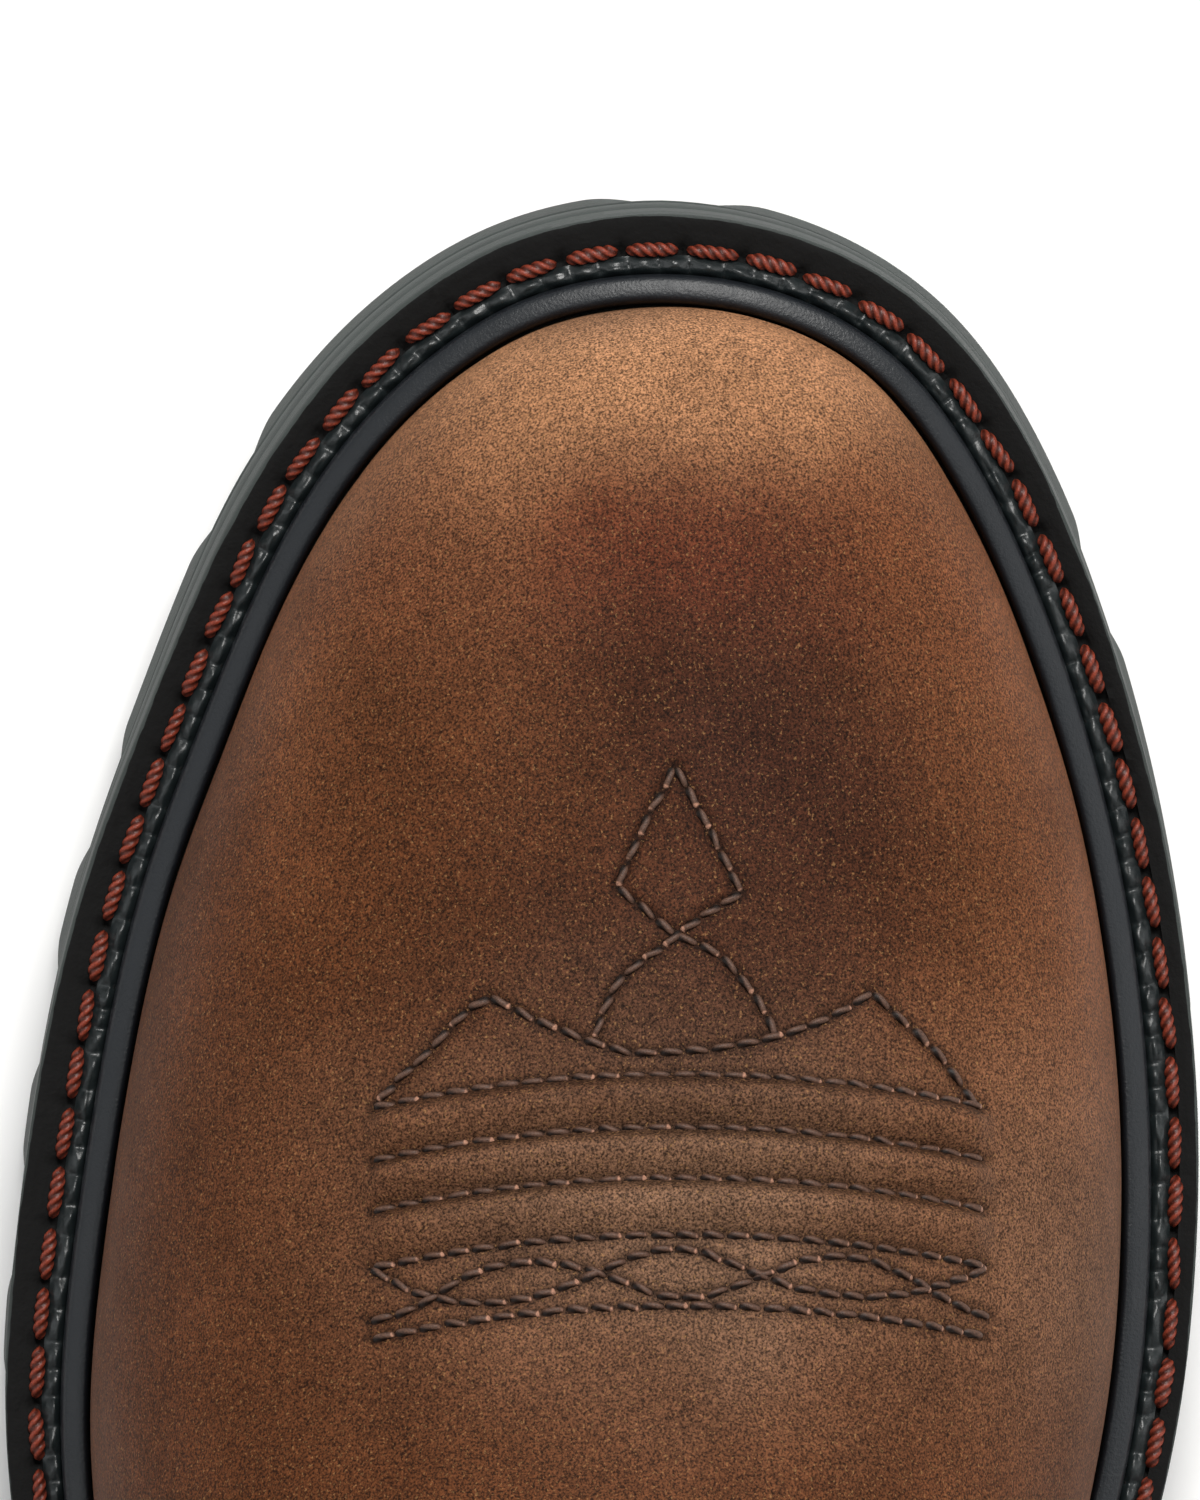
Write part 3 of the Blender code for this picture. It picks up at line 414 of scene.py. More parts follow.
def body_point(s, b, inset):
    """Upper behind the ball: super-elliptic half sections between a crown line and a base line,
    closed under the widest point by a curve that grows from a parabola to a quarter ellipse."""
    s, b = np.broadcast_arrays(np.asarray(s, float), np.asarray(b, float))
    crown, crown_rise, base, base_rise, outer, inner, belly, under, roundness, lift = (
        np.moveaxis(station(s), -1, 0))
    step = (station(s + 0.02) - station(s - 0.02))[..., :4]
    crown_dx, crown_dz, seam_dx, seam_dz = np.moveaxis(
        step * np.array([LAST_LENGTH, SHAFT_HEIGHT, LAST_LENGTH, SHAFT_HEIGHT]), -1, 0)
    size = np.hypot(crown_dx, crown_dz)
    crown_x = HEEL_BACK + LAST_LENGTH * crown - inset * crown_dz / size * np.clip(s / 2, 0, 1)
    crown_z = SHAFT_HEIGHT * crown_rise + inset * crown_dx / size
    base_x = HEEL_BACK + LAST_LENGTH * base
    size = np.hypot(seam_dx, seam_dz) + 1e-12
    fade = np.clip(1 - (s - ZIP) / 2, 0, 1)
    seam_x = base_x + TUCK_IN * fade * fade + inset * seam_dz / size
    seam_z = SHAFT_HEIGHT * base_rise - inset * seam_dx / size * (1 - fade)
    on_sole = s <= ZIP
    widest_x = base_x + (crown_x - base_x) * belly
    reach = {which: edge_at(which, share_at_x(which, widest_x), 0.0)[1]
             + which * SHAFT_GIRTH_SWELL * swell for which, swell in ((1, outer), (-1, inner))}
    middle_y = (reach[1] + reach[-1]) / 2
    q = np.abs(b) * (1 + under)
    angle = np.clip(q, 0, 1) * math.pi / 2
    up = np.cos(angle) ** (2 / roundness)
    across = np.sin(angle) ** (2 / roundness)
    sine = np.sin(np.clip((q - 1) / under, 0, 1) * math.pi / 2)
    result = np.zeros(s.shape + (3,))
    for side in (1, -1):
        use = (b >= 0) if side > 0 else (b < 0)
        foot_x, foot_y = edge_at(side, share_at_x(side, base_x), -TUCK_IN - inset)
        end_x = np.where(on_sole, foot_x, seam_x)
        end_y = np.where(on_sole, foot_y, 0.0)
        end_z = np.where(on_sole, feather(foot_x), seam_z)
        wide_x = end_x + (crown_x - end_x) * belly
        wide_z = end_z + (crown_z - end_z) * belly
        wide_y = reach[side] - side * inset
        high = np.stack([wide_x + (crown_x - wide_x) * up,
                         middle_y + (wide_y - middle_y) * across,
                         wide_z + (crown_z - wide_z) * up], axis=-1)
        bend = 1 + np.abs(wide_y - end_y) / (np.abs(wide_y - middle_y) + 1e-9)
        curve = np.clip(1 - sine ** 2, 0, 1) ** (1 / bend)
        low = np.stack([end_x + (wide_x - end_x) * (1 - sine),
                        end_y + (wide_y - end_y) * curve,
                        end_z + (wide_z - end_z) * (1 - sine)], axis=-1)
        point = np.where((q <= 1)[..., None], high, low)
        result = np.where(use[..., None], point, result)
    result[..., 2] += SHAFT_HEIGHT * lift * np.sin(math.pi * np.abs(b)) ** 2
    return result


def toe_point(a, b, inset):
    """Dome of the toe: a square mapped to a half disc, whose radius runs down a super-elliptic
    section from the crown to the last's outline."""
    a, b = np.broadcast_arrays(np.asarray(a, float), np.asarray(b, float))
    start, _, _, _, _, _, belly, under, roundness, _ = STATIONS[0]
    ahead = a * np.sqrt(1 - b * b / 2)
    beside = b * np.sqrt(1 - a * a / 2)
    start_x = HEEL_BACK + LAST_LENGTH * start
    half = [edge_at(side, share_at_x(side, start_x), 0.0)[1] for side in (1, -1)]
    middle_y = (half[0] + half[1]) / 2
    front = HEEL_BACK + LAST_LENGTH - start_x
    angle = np.arctan2(beside * (half[0] - half[1]) / 2, ahead * front)
    wide, end = np.zeros((2,) + a.shape + (2,))
    for side in (1, -1):
        way, point, _ = EDGES[side]
        seen = np.arctan2(point[:, 1] - middle_y, point[:, 0] - start_x)
        keep = point[:, 0] >= start_x - 0.002
        order = np.argsort(seen[keep])
        share = np.interp(angle, seen[keep][order], way[keep][order])
        tip = seen[keep][np.argmax(way[keep])]
        use = (angle >= tip) if side > 0 else (angle < tip)
        wide = np.where(use[..., None], np.stack(edge_at(side, share, -inset), axis=-1), wide)
        tucked = np.stack(edge_at(side, share, -TUCK_IN - inset), axis=-1)
        end = np.where(use[..., None], tucked, end)
    q = np.hypot(ahead, beside) * (1 + under)
    theta = np.clip(q, 0, 1) * math.pi / 2
    up = np.cos(theta) ** (2 / roundness)
    across = np.sin(theta) ** (2 / roundness)
    sine = np.sin(np.clip((q - 1) / under, 0, 1) * math.pi / 2)
    centre = np.array([start_x, middle_y])
    plan_high = centre + (wide - centre) * across[..., None]
    plan_low = end + (wide - end) * (1 - sine ** 2)[..., None]
    plan = np.where((q <= 1)[..., None], plan_high, plan_low)
    table = np.array(TOE_CROWN)
    share = (plan[..., 0] - HEEL_BACK) / LAST_LENGTH
    crown = SHAFT_HEIGHT * spline(table[:, 0], table[:, 1], share)[..., 0]
    base = feather(plan[..., 0])
    middle = base + (crown - inset - base) * belly
    height = np.where(q <= 1, middle + (crown - inset - middle) * up,
                      base + (middle - base) * (1 - sine))
    return np.concatenate([plan, height[..., None]], axis=-1)


def unit(vector):
    """Vectors at length 1."""
    return vector / (np.linalg.norm(vector, axis=-1, keepdims=True) + 1e-15)


def grid_normals(grid):
    """Unit normals of a grid of points: cross product of its two finite differences."""
    along = np.gradient(grid, axis=0)
    across = np.gradient(grid, axis=1)
    return unit(np.cross(across, along))


def grid_faces(rows, columns, start=0, wrap=False):
    """Quads of a grid of points stored row by row, with its columns closed if wrap is set."""
    last = columns if wrap else columns - 1
    r, c = np.meshgrid(np.arange(rows - 1), np.arange(last), indexing="ij")
    i = start + r * columns
    after = (c + 1) % columns
    return np.column_stack([(i + c).ravel(), (i + after).ravel(),
                            (i + columns + after).ravel(), (i + columns + c).ravel()])


def capped(loops):
    """Solid of stacked loops, closed by one face across the first and one across the last."""
    count = len(loops[0])
    faces = grid_faces(len(loops), count, wrap=True).tolist()
    first = list(range(count))
    last = list(range((len(loops) - 1) * count, len(loops) * count))
    return np.vstack(loops), faces + [first[::-1], last]


def add_node(tree, kind, inputs=(), stops=(), **settings):
    """Shader node with its settings and its inputs, each a constant or a socket that is linked,
    and on a colour ramp its stops of place and grey level. Gives back its outputs."""
    item = tree.nodes.new(kind)
    for key, value in settings.items():
        setattr(item, key, value)
    for key, given in dict(inputs).items():
        if isinstance(given, bpy.types.NodeSocket):
            tree.links.new(given, item.inputs[key])
        else:
            item.inputs[key].default_value = given
    while stops and len(item.color_ramp.elements) < len(stops):
        item.color_ramp.elements.new(0.5)
    for index, (place, level) in enumerate(stops):
        item.color_ramp.elements[index].position = place
        item.color_ramp.elements[index].color = (level, level, level, 1.0)
    return item.outputs


def new_material(name, color, roughness, specular, *patterns):
    """Material with its Principled shader and its grey noise patterns on the object's own
    coordinates, each given as the size of its features in mm, its detail and its roughness."""
    material = bpy.data.materials.new(name)
    material.use_nodes = True
    tree = material.node_tree
    shader = tree.nodes["Principled BSDF"]
    shader.inputs["Base Color"].default_value = linear(color)
    shader.inputs["Roughness"].default_value = roughness
    shader.inputs["Specular IOR Level"].default_value = specular
    spot = add_node(tree, "ShaderNodeTexCoord")["Object"]
    greys = [add_node(tree, "ShaderNodeTexNoise", {"Vector": spot, "Scale": 1000.0 / size_mm,
                                                   "Detail": detail, "Roughness": rough})["Fac"]
             for size_mm, detail, rough in patterns]
    return material, greys


def finish(material, skin, tones, bumps, sheen=None, flecks=None):
    """Links a finish into the shader: the skin's colour times one grey layer after another, with
    flecks of another colour over it, a layer of sheen as roughness, and bumps stacked on each
    other. A layer is a grey socket and its stops; a bump is a height socket and its depth in mm."""
    tree = material.node_tree
    shader = tree.nodes["Principled BSDF"]
    for grey, stops in tones:
        tone = add_node(tree, "ShaderNodeValToRGB", {"Fac": grey}, stops)["Color"]
        skin = add_node(tree, "ShaderNodeMix", {0: 1.0, 6: skin, 7: tone}, data_type="RGBA",
                        blend_type="MULTIPLY")[2]
    if flecks:
        grey, stops, fleck_color = flecks
        share = add_node(tree, "ShaderNodeValToRGB", {"Fac": grey}, stops)["Color"]
        skin = add_node(tree, "ShaderNodeMix", {0: share, 6: skin, 7: linear(fleck_color)},
                        data_type="RGBA")[2]
    tree.links.new(skin, shader.inputs["Base Color"])
    if sheen:
        grey, stops = sheen
        rough = add_node(tree, "ShaderNodeValToRGB", {"Fac": grey}, stops)["Color"]
        tree.links.new(rough, shader.inputs["Roughness"])
    normal = {}
    for height, depth in bumps:
        normal["Normal"] = add_node(tree, "ShaderNodeBump", {
            "Strength": 1.0, "Distance": depth * MM, "Height": height, **normal})["Normal"]
    tree.links.new(normal["Normal"], shader.inputs["Normal"])


def leather(name, color, attribute=None, rough=0.66):
    """Oiled, brushed leather: clouds of 14 mm, mottle of 0.9 mm, grain of 0.24 mm, dark pores a
    millimetre apart and light specks where the finish has worn."""
    material, (clouds, mottle, grain, worn) = new_material(
        name, color, rough, 0.09,
        (14.0, 4.0, 0.6), (0.9, 3.0, 0.65), (0.24, 2.0, 0.6), (0.30, 1.0, 0.5))
    tree = material.node_tree
    spot = add_node(tree, "ShaderNodeTexCoord")["Object"]
    pores = add_node(tree, "ShaderNodeTexVoronoi", {"Vector": spot, "Scale": 1000.0 / PORE_MM,
                                                    "Randomness": 1.0})["Distance"]
    skin = linear(color)
    if attribute:
        skin = add_node(tree, "ShaderNodeAttribute", attribute_name=attribute)["Color"]
    finish(material, skin,
           ((clouds, ((0.3, 0.80), (0.7, 1.16))), (mottle, ((0.30, 0.76), (0.70, 1.26))),
            (grain, ((0.36, 0.28), (0.64, 1.85))), (pores, ((0.08, 0.45), (0.16, 1.0)))),
           ((mottle, 0.06), (grain, 0.06), (pores, 0.03)),
           sheen=(clouds, ((0.3, rough + 0.06), (0.7, rough - 0.05))),
           flecks=(worn, ((0.62, 0.0), (0.77, 0.36)), "speck"))
    return material


def rubber(name, color, rough, grain_mm, depth, specular=0.5, spread=0.12):
    """Moulded rubber with a fine grain, and dust of 6 mm that lightens and dulls it in places."""
    material, (grain, dust) = new_material(name, color, rough, specular,
                                           (grain_mm, 3.0, 0.6), (6.0, 4.0, 0.65))
    finish(material, linear(color), ((dust, ((0.3, 1 - spread), (0.7, 1 + spread))),),
           ((grain, depth),), sheen=(dust, ((0.3, rough - 0.05), (0.7, rough + 0.07))))
    return material


def thread(name, color, rough, specular, groove_level):
    """Waxed thread from the mesh's own attribute: painted shade in the grooves between its strands,
    lighter on their crests, and a painted highlight where the attribute carries a glint.
    """
    material, (fibre,) = new_material(name, color, rough, specular, (0.22, 2.0, 0.6))
    groove = add_node(material.node_tree, "ShaderNodeAttribute", attribute_name="strand")["Fac"]
    finish(material, linear(color),
           # Strand ramp: painted shade in the grooves, lighter on the crests, painted highlight for
           # glints
           ((groove, ((0.08, groove_level), (0.44, 1.5), (0.55, 1.5), (0.9, 6.5))),
            (fibre, ((0.3, 0.65), (0.7, 1.4)))), ((fibre, 0.05),))
    return material


def new_piece(name, node, slot, points, faces, material, colors=None, floats=None, angle=None):
    """Mesh object at the origin that rides on the frame and stands for a CAD node; edges sharper
    than the angle in degrees stay sharp."""
    mesh = bpy.data.meshes.new(name)
    mesh.from_pydata(np.asarray(points).tolist(), [], np.asarray(faces, object).tolist())
    mesh.polygons.foreach_set("use_smooth", np.ones(len(mesh.polygons), bool))
    if angle is not None:
        mesh.set_sharp_from_angle(angle=math.radians(angle))
    if colors is not None:
        layer = mesh.attributes.new("shade", "FLOAT_COLOR", "POINT")
        layer.data.foreach_set("color", np.asarray(colors, np.float32).ravel())
    if floats is not None:
        layer = mesh.attributes.new("strand", "FLOAT", "POINT")
        layer.data.foreach_set("value", np.asarray(floats, np.float32).ravel())
    mesh.materials.append(material)
    mesh.update()
    piece = bpy.data.objects.new(name, mesh)
    bpy.context.scene.collection.objects.link(piece)
    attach(piece, "root")
    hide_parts(node)


def band_piece(name, node, slot, loops, material, angle=None):
    """Piece whose skin is a band of closed loops."""
    grid = np.stack(loops)
    faces = grid_faces(len(grid), grid.shape[1], wrap=True)
    new_piece(name, node, slot, grid.reshape(-1, 3), faces, material, angle=angle)


def thick(outer, inner, faces):
    """Closed shell between two surfaces with shared quads: doubled points are welded, quads that
    shrink to a line go, and the edges that no other quad runs back along get a rim."""
    count = len(outer)
    first, copies = np.unique(np.round(outer, 7) + 0.0, axis=0, return_index=True,
                              return_inverse=True)[1:]
    quads = first[copies.ravel()][np.asarray(faces)]
    distinct = 1 + (np.diff(np.sort(quads, axis=1), axis=1) > 0).sum(axis=1)
    quads = quads[distinct > 2]
    skin = [list(dict.fromkeys(quad)) for quad in quads.tolist()]
    back = [[i + count for i in face[:1] + face[:0:-1]] for face in skin]
    starts, ends = quads.ravel(), np.roll(quads, -1, axis=1).ravel()
    sides = np.stack([starts, ends], axis=1)[~np.isin(starts * count + ends, ends * count + starts)]
    i, j = np.unique(sides, axis=0).T
    rim = np.stack([j, i, i + count, j + count], axis=1).tolist()
    return np.vstack([outer, inner]), skin + back + rim


def smooth_path(points, step):
    """Curve through the given points by a cubic over chord length, sampled at even steps."""
    knots = run_lengths(points)
    return spline(knots, points, np.linspace(0, knots[-1], max(int(knots[-1] / step), 2) + 1))


def row_x(k, y):
    """Place of a corded row along the boot in mm: an arc that drops to both sides."""
    return ROWS[k][0] - ROW_DROP * np.abs((y - ROW_MIDDLE) / ROW_HALF) ** 2.1


def row_path(k):
    """Plan path of a corded row in mm."""
    y = np.linspace(ROW_MIDDLE + ROW_HALF, ROW_MIDDLE - ROW_HALF, 60)
    return np.column_stack([row_x(k, y), y])


def pattern_paths():
    """All decorative stitch paths in plan, in mm."""
    paths = [smooth_path(line, 0.5) for line in KITE + WING + WAVES]
    return paths + [row_path(k) for k in range(len(ROWS))]


def stitch_gap(x, y):
    """Distance in mm from plan places to the nearest decorative stitch path, 9 at most."""
    near = np.full(x.shape, 9.0)
    inside = (x > 140) & (x < 216) & (y > -42) & (y < 27)
    place = np.column_stack([x[inside], y[inside]])
    closest = np.full(len(place), 9.0)
    for path in pattern_paths():
        for start in range(0, len(path), 40):
            part = path[start:start + 40]
            step = place[:, None] - part[None]
            closest = np.minimum(closest, np.hypot(step[..., 0], step[..., 1]).min(axis=1))
    near[inside] = closest
    return near


def relief(x, y):
    """Height in mm that the cords and stitches add to the vamp, over plan places in mm: rolls
    rise as a skewed sine between two rows, each stitch line sinks as a narrow bell."""
    height = np.zeros_like(x)
    u = np.abs((y - ROW_MIDDLE) / ROW_HALF)
    ends = 1 - soft(0.93, 1.06, u)
    for k, (_, roll) in enumerate(ROWS):
        if roll:
            front, back = row_x(k, y), row_x(k + 1, y)
            f = np.clip((front - x) / (front - back), 0, 1)
            height += ROLL_HEIGHT * np.sin(math.pi * f ** 0.72) ** 1.15 * ends
    return height - 0.32 * np.exp(-(stitch_gap(x, y) / 0.62) ** 2)


# Patches of colour on the vamp: along and across in mm, their radii, colour, strength; besides the
# leather's tone and burnish, some patches hold painted highlight and painted shade, as noted at
# each
TONE_AND_LIGHT_PATCHES = (
    # Lighter toe front: partly pull-up and burnish, partly a painted highlight where the toe faces
    # the key light
    (262, -4, 36, 56, "tan", 0.92),
    # Honey on the inner side: partly the leather's tone, partly a painted highlight along the
    # vamp's edge
    (227, -34, 20, 13, "honey", 0.8),
    (229, -11, 16, 26, "red", 1.0),
    (232, 20, 15, 13, "red", 0.35),
    # Honey on the outer side: partly the leather's tone, partly a painted highlight along the
    # vamp's edge
    (216, 28, 20, 9, "honey", 0.35),
    # Dark middle of the toe box, this patch and the next: partly burnish, partly painted shade
    (212, -15, 26, 23, "dark", 1.0),
    (188, -8, 20, 28, "dark", 0.88),
    # Honey along the inner side further back: partly the leather's tone, partly a painted highlight
    (188, -46, 60, 17, "honey", 0.65),
    (169, -8, 22, 37, "olive", 1.0),
    (165, -44, 26, 13, "olive", 0.5),
    # Darker band along the front tip: painted shade where the toe turns down
    (258, -1, 6, 27, "olive", 0.75),
)


def vamp_colors(points):
    """Leather colour over the vamp: base tone with soft patches of burnish and wear that also carry
    painted highlight and painted shade, and painted shade as a narrow bell along the needle lines."""
    x, y = points[:, 0] / MM, points[:, 1] / MM
    wobble = value_noise(x, y, 13.0, 3) * 3.0 + value_noise(x, y, 4.0, 4) * 1.2
    color = np.tile(linear("leather"), (len(points), 1))
    for along, across, radius_x, radius_y, name, strength in TONE_AND_LIGHT_PATCHES:
        gap = np.hypot((x + wobble - along) / radius_x, (y + wobble - across) / radius_y)
        weight = strength * np.exp(-(gap / 0.75) ** 2)
        color = color * (1 - weight[:, None]) + np.array(linear(name)) * weight[:, None]
    # Painted shade along the needle lines: the colour is darkened as a narrow bell round each
    # stitch path
    return color * (1 - 0.72 * np.exp(-(stitch_gap(x, y) / 0.68) ** 2))[:, None]


def vamp_rows():
    """Row shares of the toe's dome, even in plan: fine under the stitching, wider in front of it,
    from the arc sine that undoes the super-ellipse."""
    under, roundness = STATIONS[0][7:9]
    plan = np.concatenate([np.linspace(0, 0.50, 100), np.linspace(0.50, 0.995, 46)[1:]])
    a = np.arcsin(plan ** (roundness / 2)) * 2 / math.pi
    return np.concatenate([a, np.linspace(1, 1 + under, 9)]) / (1 + under)


def both_halves(half):
    """Row of section shares from -1 to 1, mirrored from those of one half."""
    return np.concatenate([-half[:0:-1], half])[None, :]


def tongue_edge(b):
    """Row at which the vamp ends: its plain edge plus a flat-topped bell in front, the tongue."""
    return VAMP_EDGE + TONGUE_REACH * np.exp(-(b / TONGUE_WIDTH) ** 4)


def vamp_grid():
    """Rows of the vamp from the toe's feather edge to the tongue, with its turned back edge."""
    t = np.linspace(0, 1, 149)
    b = both_halves(0.7 * t ** 1.25 + 0.3 * t ** 3)
    a = vamp_rows()[:0:-1][:, None]
    reach = tongue_edge(b)
    s = np.concatenate([np.linspace(0, 1.8, 84), np.linspace(1.8, VAMP_EDGE, 72)[1:]])[:, None]
    s = s + (reach - VAMP_EDGE) * soft(1.8, VAMP_EDGE, s)
    skin = np.vstack([toe_point(a, b, 0.0), body_point(s, b, 0.0)])
    normal = grid_normals(skin)
    lift = relief(skin[..., 0] / MM, skin[..., 1] / MM) * MM
    waves = 0.15 * MM * value_noise(skin[..., 0] / MM, skin[..., 1] / MM, 16.0, 8)
    skin = skin + normal * (lift + waves)[..., None]
    rim = [body_point(reach, b, inset) for inset in (0.0002, 0.0008, OVERLAY_THICK)]
    return np.vstack([skin] + rim), normal


def on_surface(plan, grid, normal):
    """Points and normals of a surface grid above plan places: the nearest vertex, then its plane,
    with heights smoothed along the path by a bell."""
    flat, up = grid.reshape(-1, 3), normal.reshape(-1, 3)
    low, high = plan.min(axis=0) - 0.004, plan.max(axis=0) + 0.004
    keep = np.all((flat[:, :2] > low) & (flat[:, :2] < high), axis=1) & (up[:, 2] > 0.1)
    flat, up = flat[keep], up[keep]
    found = []
    for start in range(0, len(plan), 100):
        part = plan[start:start + 100]
        step = part[:, None] - flat[None, :, :2]
        found.append((step[..., 0] ** 2 + step[..., 1] ** 2).argmin(axis=1))
    found = np.concatenate(found)
    near, way = flat[found], up[found]
    step = plan - near[:, :2]
    z = near[:, 2] - (way[:, 0] * step[:, 0] + way[:, 1] * step[:, 1]) / way[:, 2]
    size = min(7, len(plan) // 2 * 2 - 1)
    weights = np.hanning(size + 2)[1:-1]
    weights /= weights.sum()
    ends = np.concatenate([np.full(size // 2, z[0]), z, np.full(size // 2, z[-1])])
    return np.column_stack([plan, np.convolve(ends, weights, "valid")]), way


def stitch_mesh(path, normal, size, lobes, turns, rise, seed, steps=15, sides=12, tilt=0.035,
                blunt=2.6, glint=0.0):
    """Row of stitches along a path: each is a spindle of lobed section that twists along its
    length, arched over the leather and sunk at both ends."""
    pitch, length, radius = size
    gap = run_lengths(path)
    count = max(int(round(gap[-1] / pitch)), 1)
    centre = (np.arange(count) + 0.5) * gap[-1] / count
    rng = np.random.default_rng(seed)
    centre = centre + rng.uniform(-0.03, 0.03, count) * pitch

    def at(place, values):
        """Values along the path, linear between its points."""
        return np.column_stack([np.interp(place, gap, values[:, k]) for k in range(3)])

    start, end = at(centre - length / 2, path), at(centre + length / 2, path)
    up = unit(at(centre, normal))
    way = unit(end - start)
    beside = unit(np.cross(up, way))
    way = unit(way + beside * rng.normal(0, tilt, count)[:, None])
    beside = unit(np.cross(up, way))
    t = np.linspace(-1, 1, steps)[:, None]
    turn = np.linspace(0, 2 * math.pi, sides, endpoint=False)[None, :]
    phase = lobes * (turn + turns * 2 * math.pi * (t + 1) / 2)
    ridge = 0.5 + 0.5 * np.cos(phase)
    swell = (1 - np.abs(t) ** blunt) ** 0.55
    reach = radius * swell * (0.76 + 0.30 * ridge ** 0.7)
    along = t * length / 2 + 0 * turn
    across = reach * np.cos(turn)
    above = reach * np.sin(turn) * 0.9 + rise - (rise + radius * 0.55) * np.abs(t) ** 4
    fat = 1 + rng.normal(0, 0.05, count)[:, None, None, None]
    shape = (way[:, None, None, :] * along[None, :, :, None]
             + beside[:, None, None, :] * across[None, :, :, None] * fat
             + up[:, None, None, :] * above[None, :, :, None])
    points = (at(centre, path)[:, None, None, :] + shape).reshape(-1, 3)
    one = grid_faces(steps, sides, wrap=True)
    faces = (one[None] + (np.arange(count) * steps * sides)[:, None, None]).reshape(-1, 4)
    # Strand attribute for the thread's painted shade: high on the ridges, low in the grooves and
    # towards the sunk ends
    strand = np.broadcast_to(ridge * (1 - 0.5 * np.abs(t) ** 6) / 2, (count, steps, sides)).copy()
    # Painted highlight: a glint near one end of some stitches, brightened by the thread's ramp
    shine = glint * rng.uniform(0, 1, count)[:, None, None] ** 2
    strand += shine * np.exp(-((t - 0.72) / 0.13) ** 2)[None]
    return points, faces, strand.reshape(-1)


def edge_stitches(s, b, seed):
    """Fine row of stitches on the leather along a path of section rows and shares."""
    path = body_point(s, b, 0.0)
    beyond = body_point(s, b, -0.001)
    return stitch_mesh(path, unit(beyond - path), EDGE_STITCH, 2, 0.6, 0.05 * MM, seed, 9, 8)


def thread_piece(name, node, slot, rows, material):
    """Rows of stitches as one piece."""
    starts = np.cumsum([0] + [len(points) for points, _, _ in rows])
    faces = np.vstack([faces + start for (_, faces, _), start in zip(rows, starts)])
    new_piece(name, node, slot, np.vstack([points for points, _, _ in rows]), faces, material,
              floats=np.concatenate([strand for _, _, strand in rows]))


def plan_loop(out_outer, out_inner, steps):
    """Closed plan loop round the last, moved outward by a function of the way along."""
    share = np.linspace(0, 1, steps + 1)
    share = share - 0.012 * np.sin(2 * math.pi * share)
    lateral = np.column_stack(edge_at(1, share, out_outer(share)))
    medial = np.column_stack(edge_at(-1, share, out_inner(share)))[-2:0:-1]
    lateral[0, 1] = 0.0
    return np.vstack([lateral, medial])


def sole_loop(extra, height, flare, steps=220):
    """Loop at the welt's margin with a share of the flare plus an extra, above the sole line."""
    plan = plan_loop(lambda t: margin(1, t, flare) + extra,
                     lambda t: margin(-1, t, flare) + extra, steps)
    return np.column_stack([plan, sole_under(plan[:, 0]) + height])


def inner_loop(out, height, steps=220):
    """Loop at a fixed distance from the last's edge, above the sole line."""
    plan = plan_loop(lambda t: 0 * t + out, lambda t: 0 * t + out, steps)
    return np.column_stack([plan, sole_under(plan[:, 0]) + height])


def slab(loops):
    """Solid of stacked loops with rungs across the first and the last."""
    levels, count = len(loops), len(loops[0])
    faces = grid_faces(levels, count, wrap=True).tolist()
    for level in (0, levels - 1):
        for i in range(count // 2):
            corners = []
            for k in (i, i + 1, (count - i - 1) % count, (count - i) % count):
                if level * count + k not in corners:
                    corners.append(level * count + k)
            faces.append(corners if level else corners[::-1])
    return np.vstack(loops), faces


def make_vamp(skin_material, thread_material):
    """Vamp with its relief, and the decorative thread on it."""
    grid, normal = vamp_grid()
    rows, columns = grid.shape[:2]
    points = grid.reshape(-1, 3)
    new_piece("vamp_leather", "vamp", "vamp_leather", points, grid_faces(rows, columns)[:, ::-1],
              skin_material, colors=vamp_colors(points))
    top = grid[:-3]
    rows_of_thread = []
    for k, line in enumerate(pattern_paths()):
        place, up = on_surface(line * MM, top, normal)
        rows_of_thread.append(stitch_mesh(place, up, PATTERN_STITCH, 2, -0.4, 0.12 * MM, 30 + k,
                                          tilt=0.10, blunt=3.2, glint=1.3))
    b = np.linspace(-0.97, 0.97, 500)
    for k, back in enumerate((0.10, 0.20)):
        rows_of_thread.append(edge_stitches(tongue_edge(b) - back, b, 60 + k))
    thread_piece("vamp_thread", "vamp", "vamp_leather", rows_of_thread, thread_material)


def make_upper(outside, lining):
    """Shell of the upper: outer leather and inner lining with folds at the ankle."""
    b = both_halves(np.linspace(0, 1, 61))
    a = np.linspace(1, 0, 19)[:-1][:, None]
    s = np.concatenate([np.linspace(0, ZIP, 101), np.linspace(ZIP, COLLAR, 71)[1:]])[:, None]
    for name, inset, material in (("upper_leather", UPPER_INSET, outside),
                                  ("upper_lining", UPPER_INSET + WALL, lining)):
        body = body_point(s, b, inset)
        body = body + grid_normals(body) * folds(body, s + 0 * b)[..., None]
        grid = np.vstack([toe_point(a, b, inset), body])
        faces = grid_faces(*grid.shape[:2])
        if inset == UPPER_INSET:
            faces = faces[:, ::-1]
        new_piece(name, "upper", "upper_leather", grid.reshape(-1, 3), faces, material)


def folds(points, s):
    """Soft ankle folds of the shaft as two shallow troughs across its front and one at the back."""
    x, y, z = (points[..., k] / MM for k in range(3))
    front = soft(30, 75, x)
    back = 1 - soft(-30, 5, x)
    first = -0.9 * np.exp(-((z - 165 + 0.25 * np.abs(y)) / 6) ** 2) * front
    second = -0.7 * np.exp(-((z - 186 + 0.20 * np.abs(y)) / 7) ** 2) * front
    third = -0.9 * np.exp(-((z - 118 - 0.15 * np.abs(y)) / 8) ** 2) * back
    fade = soft(7.6, 8.6, s) * (1 - soft(16.2, 16.9, s))
    return (first + second + third) * MM * fade


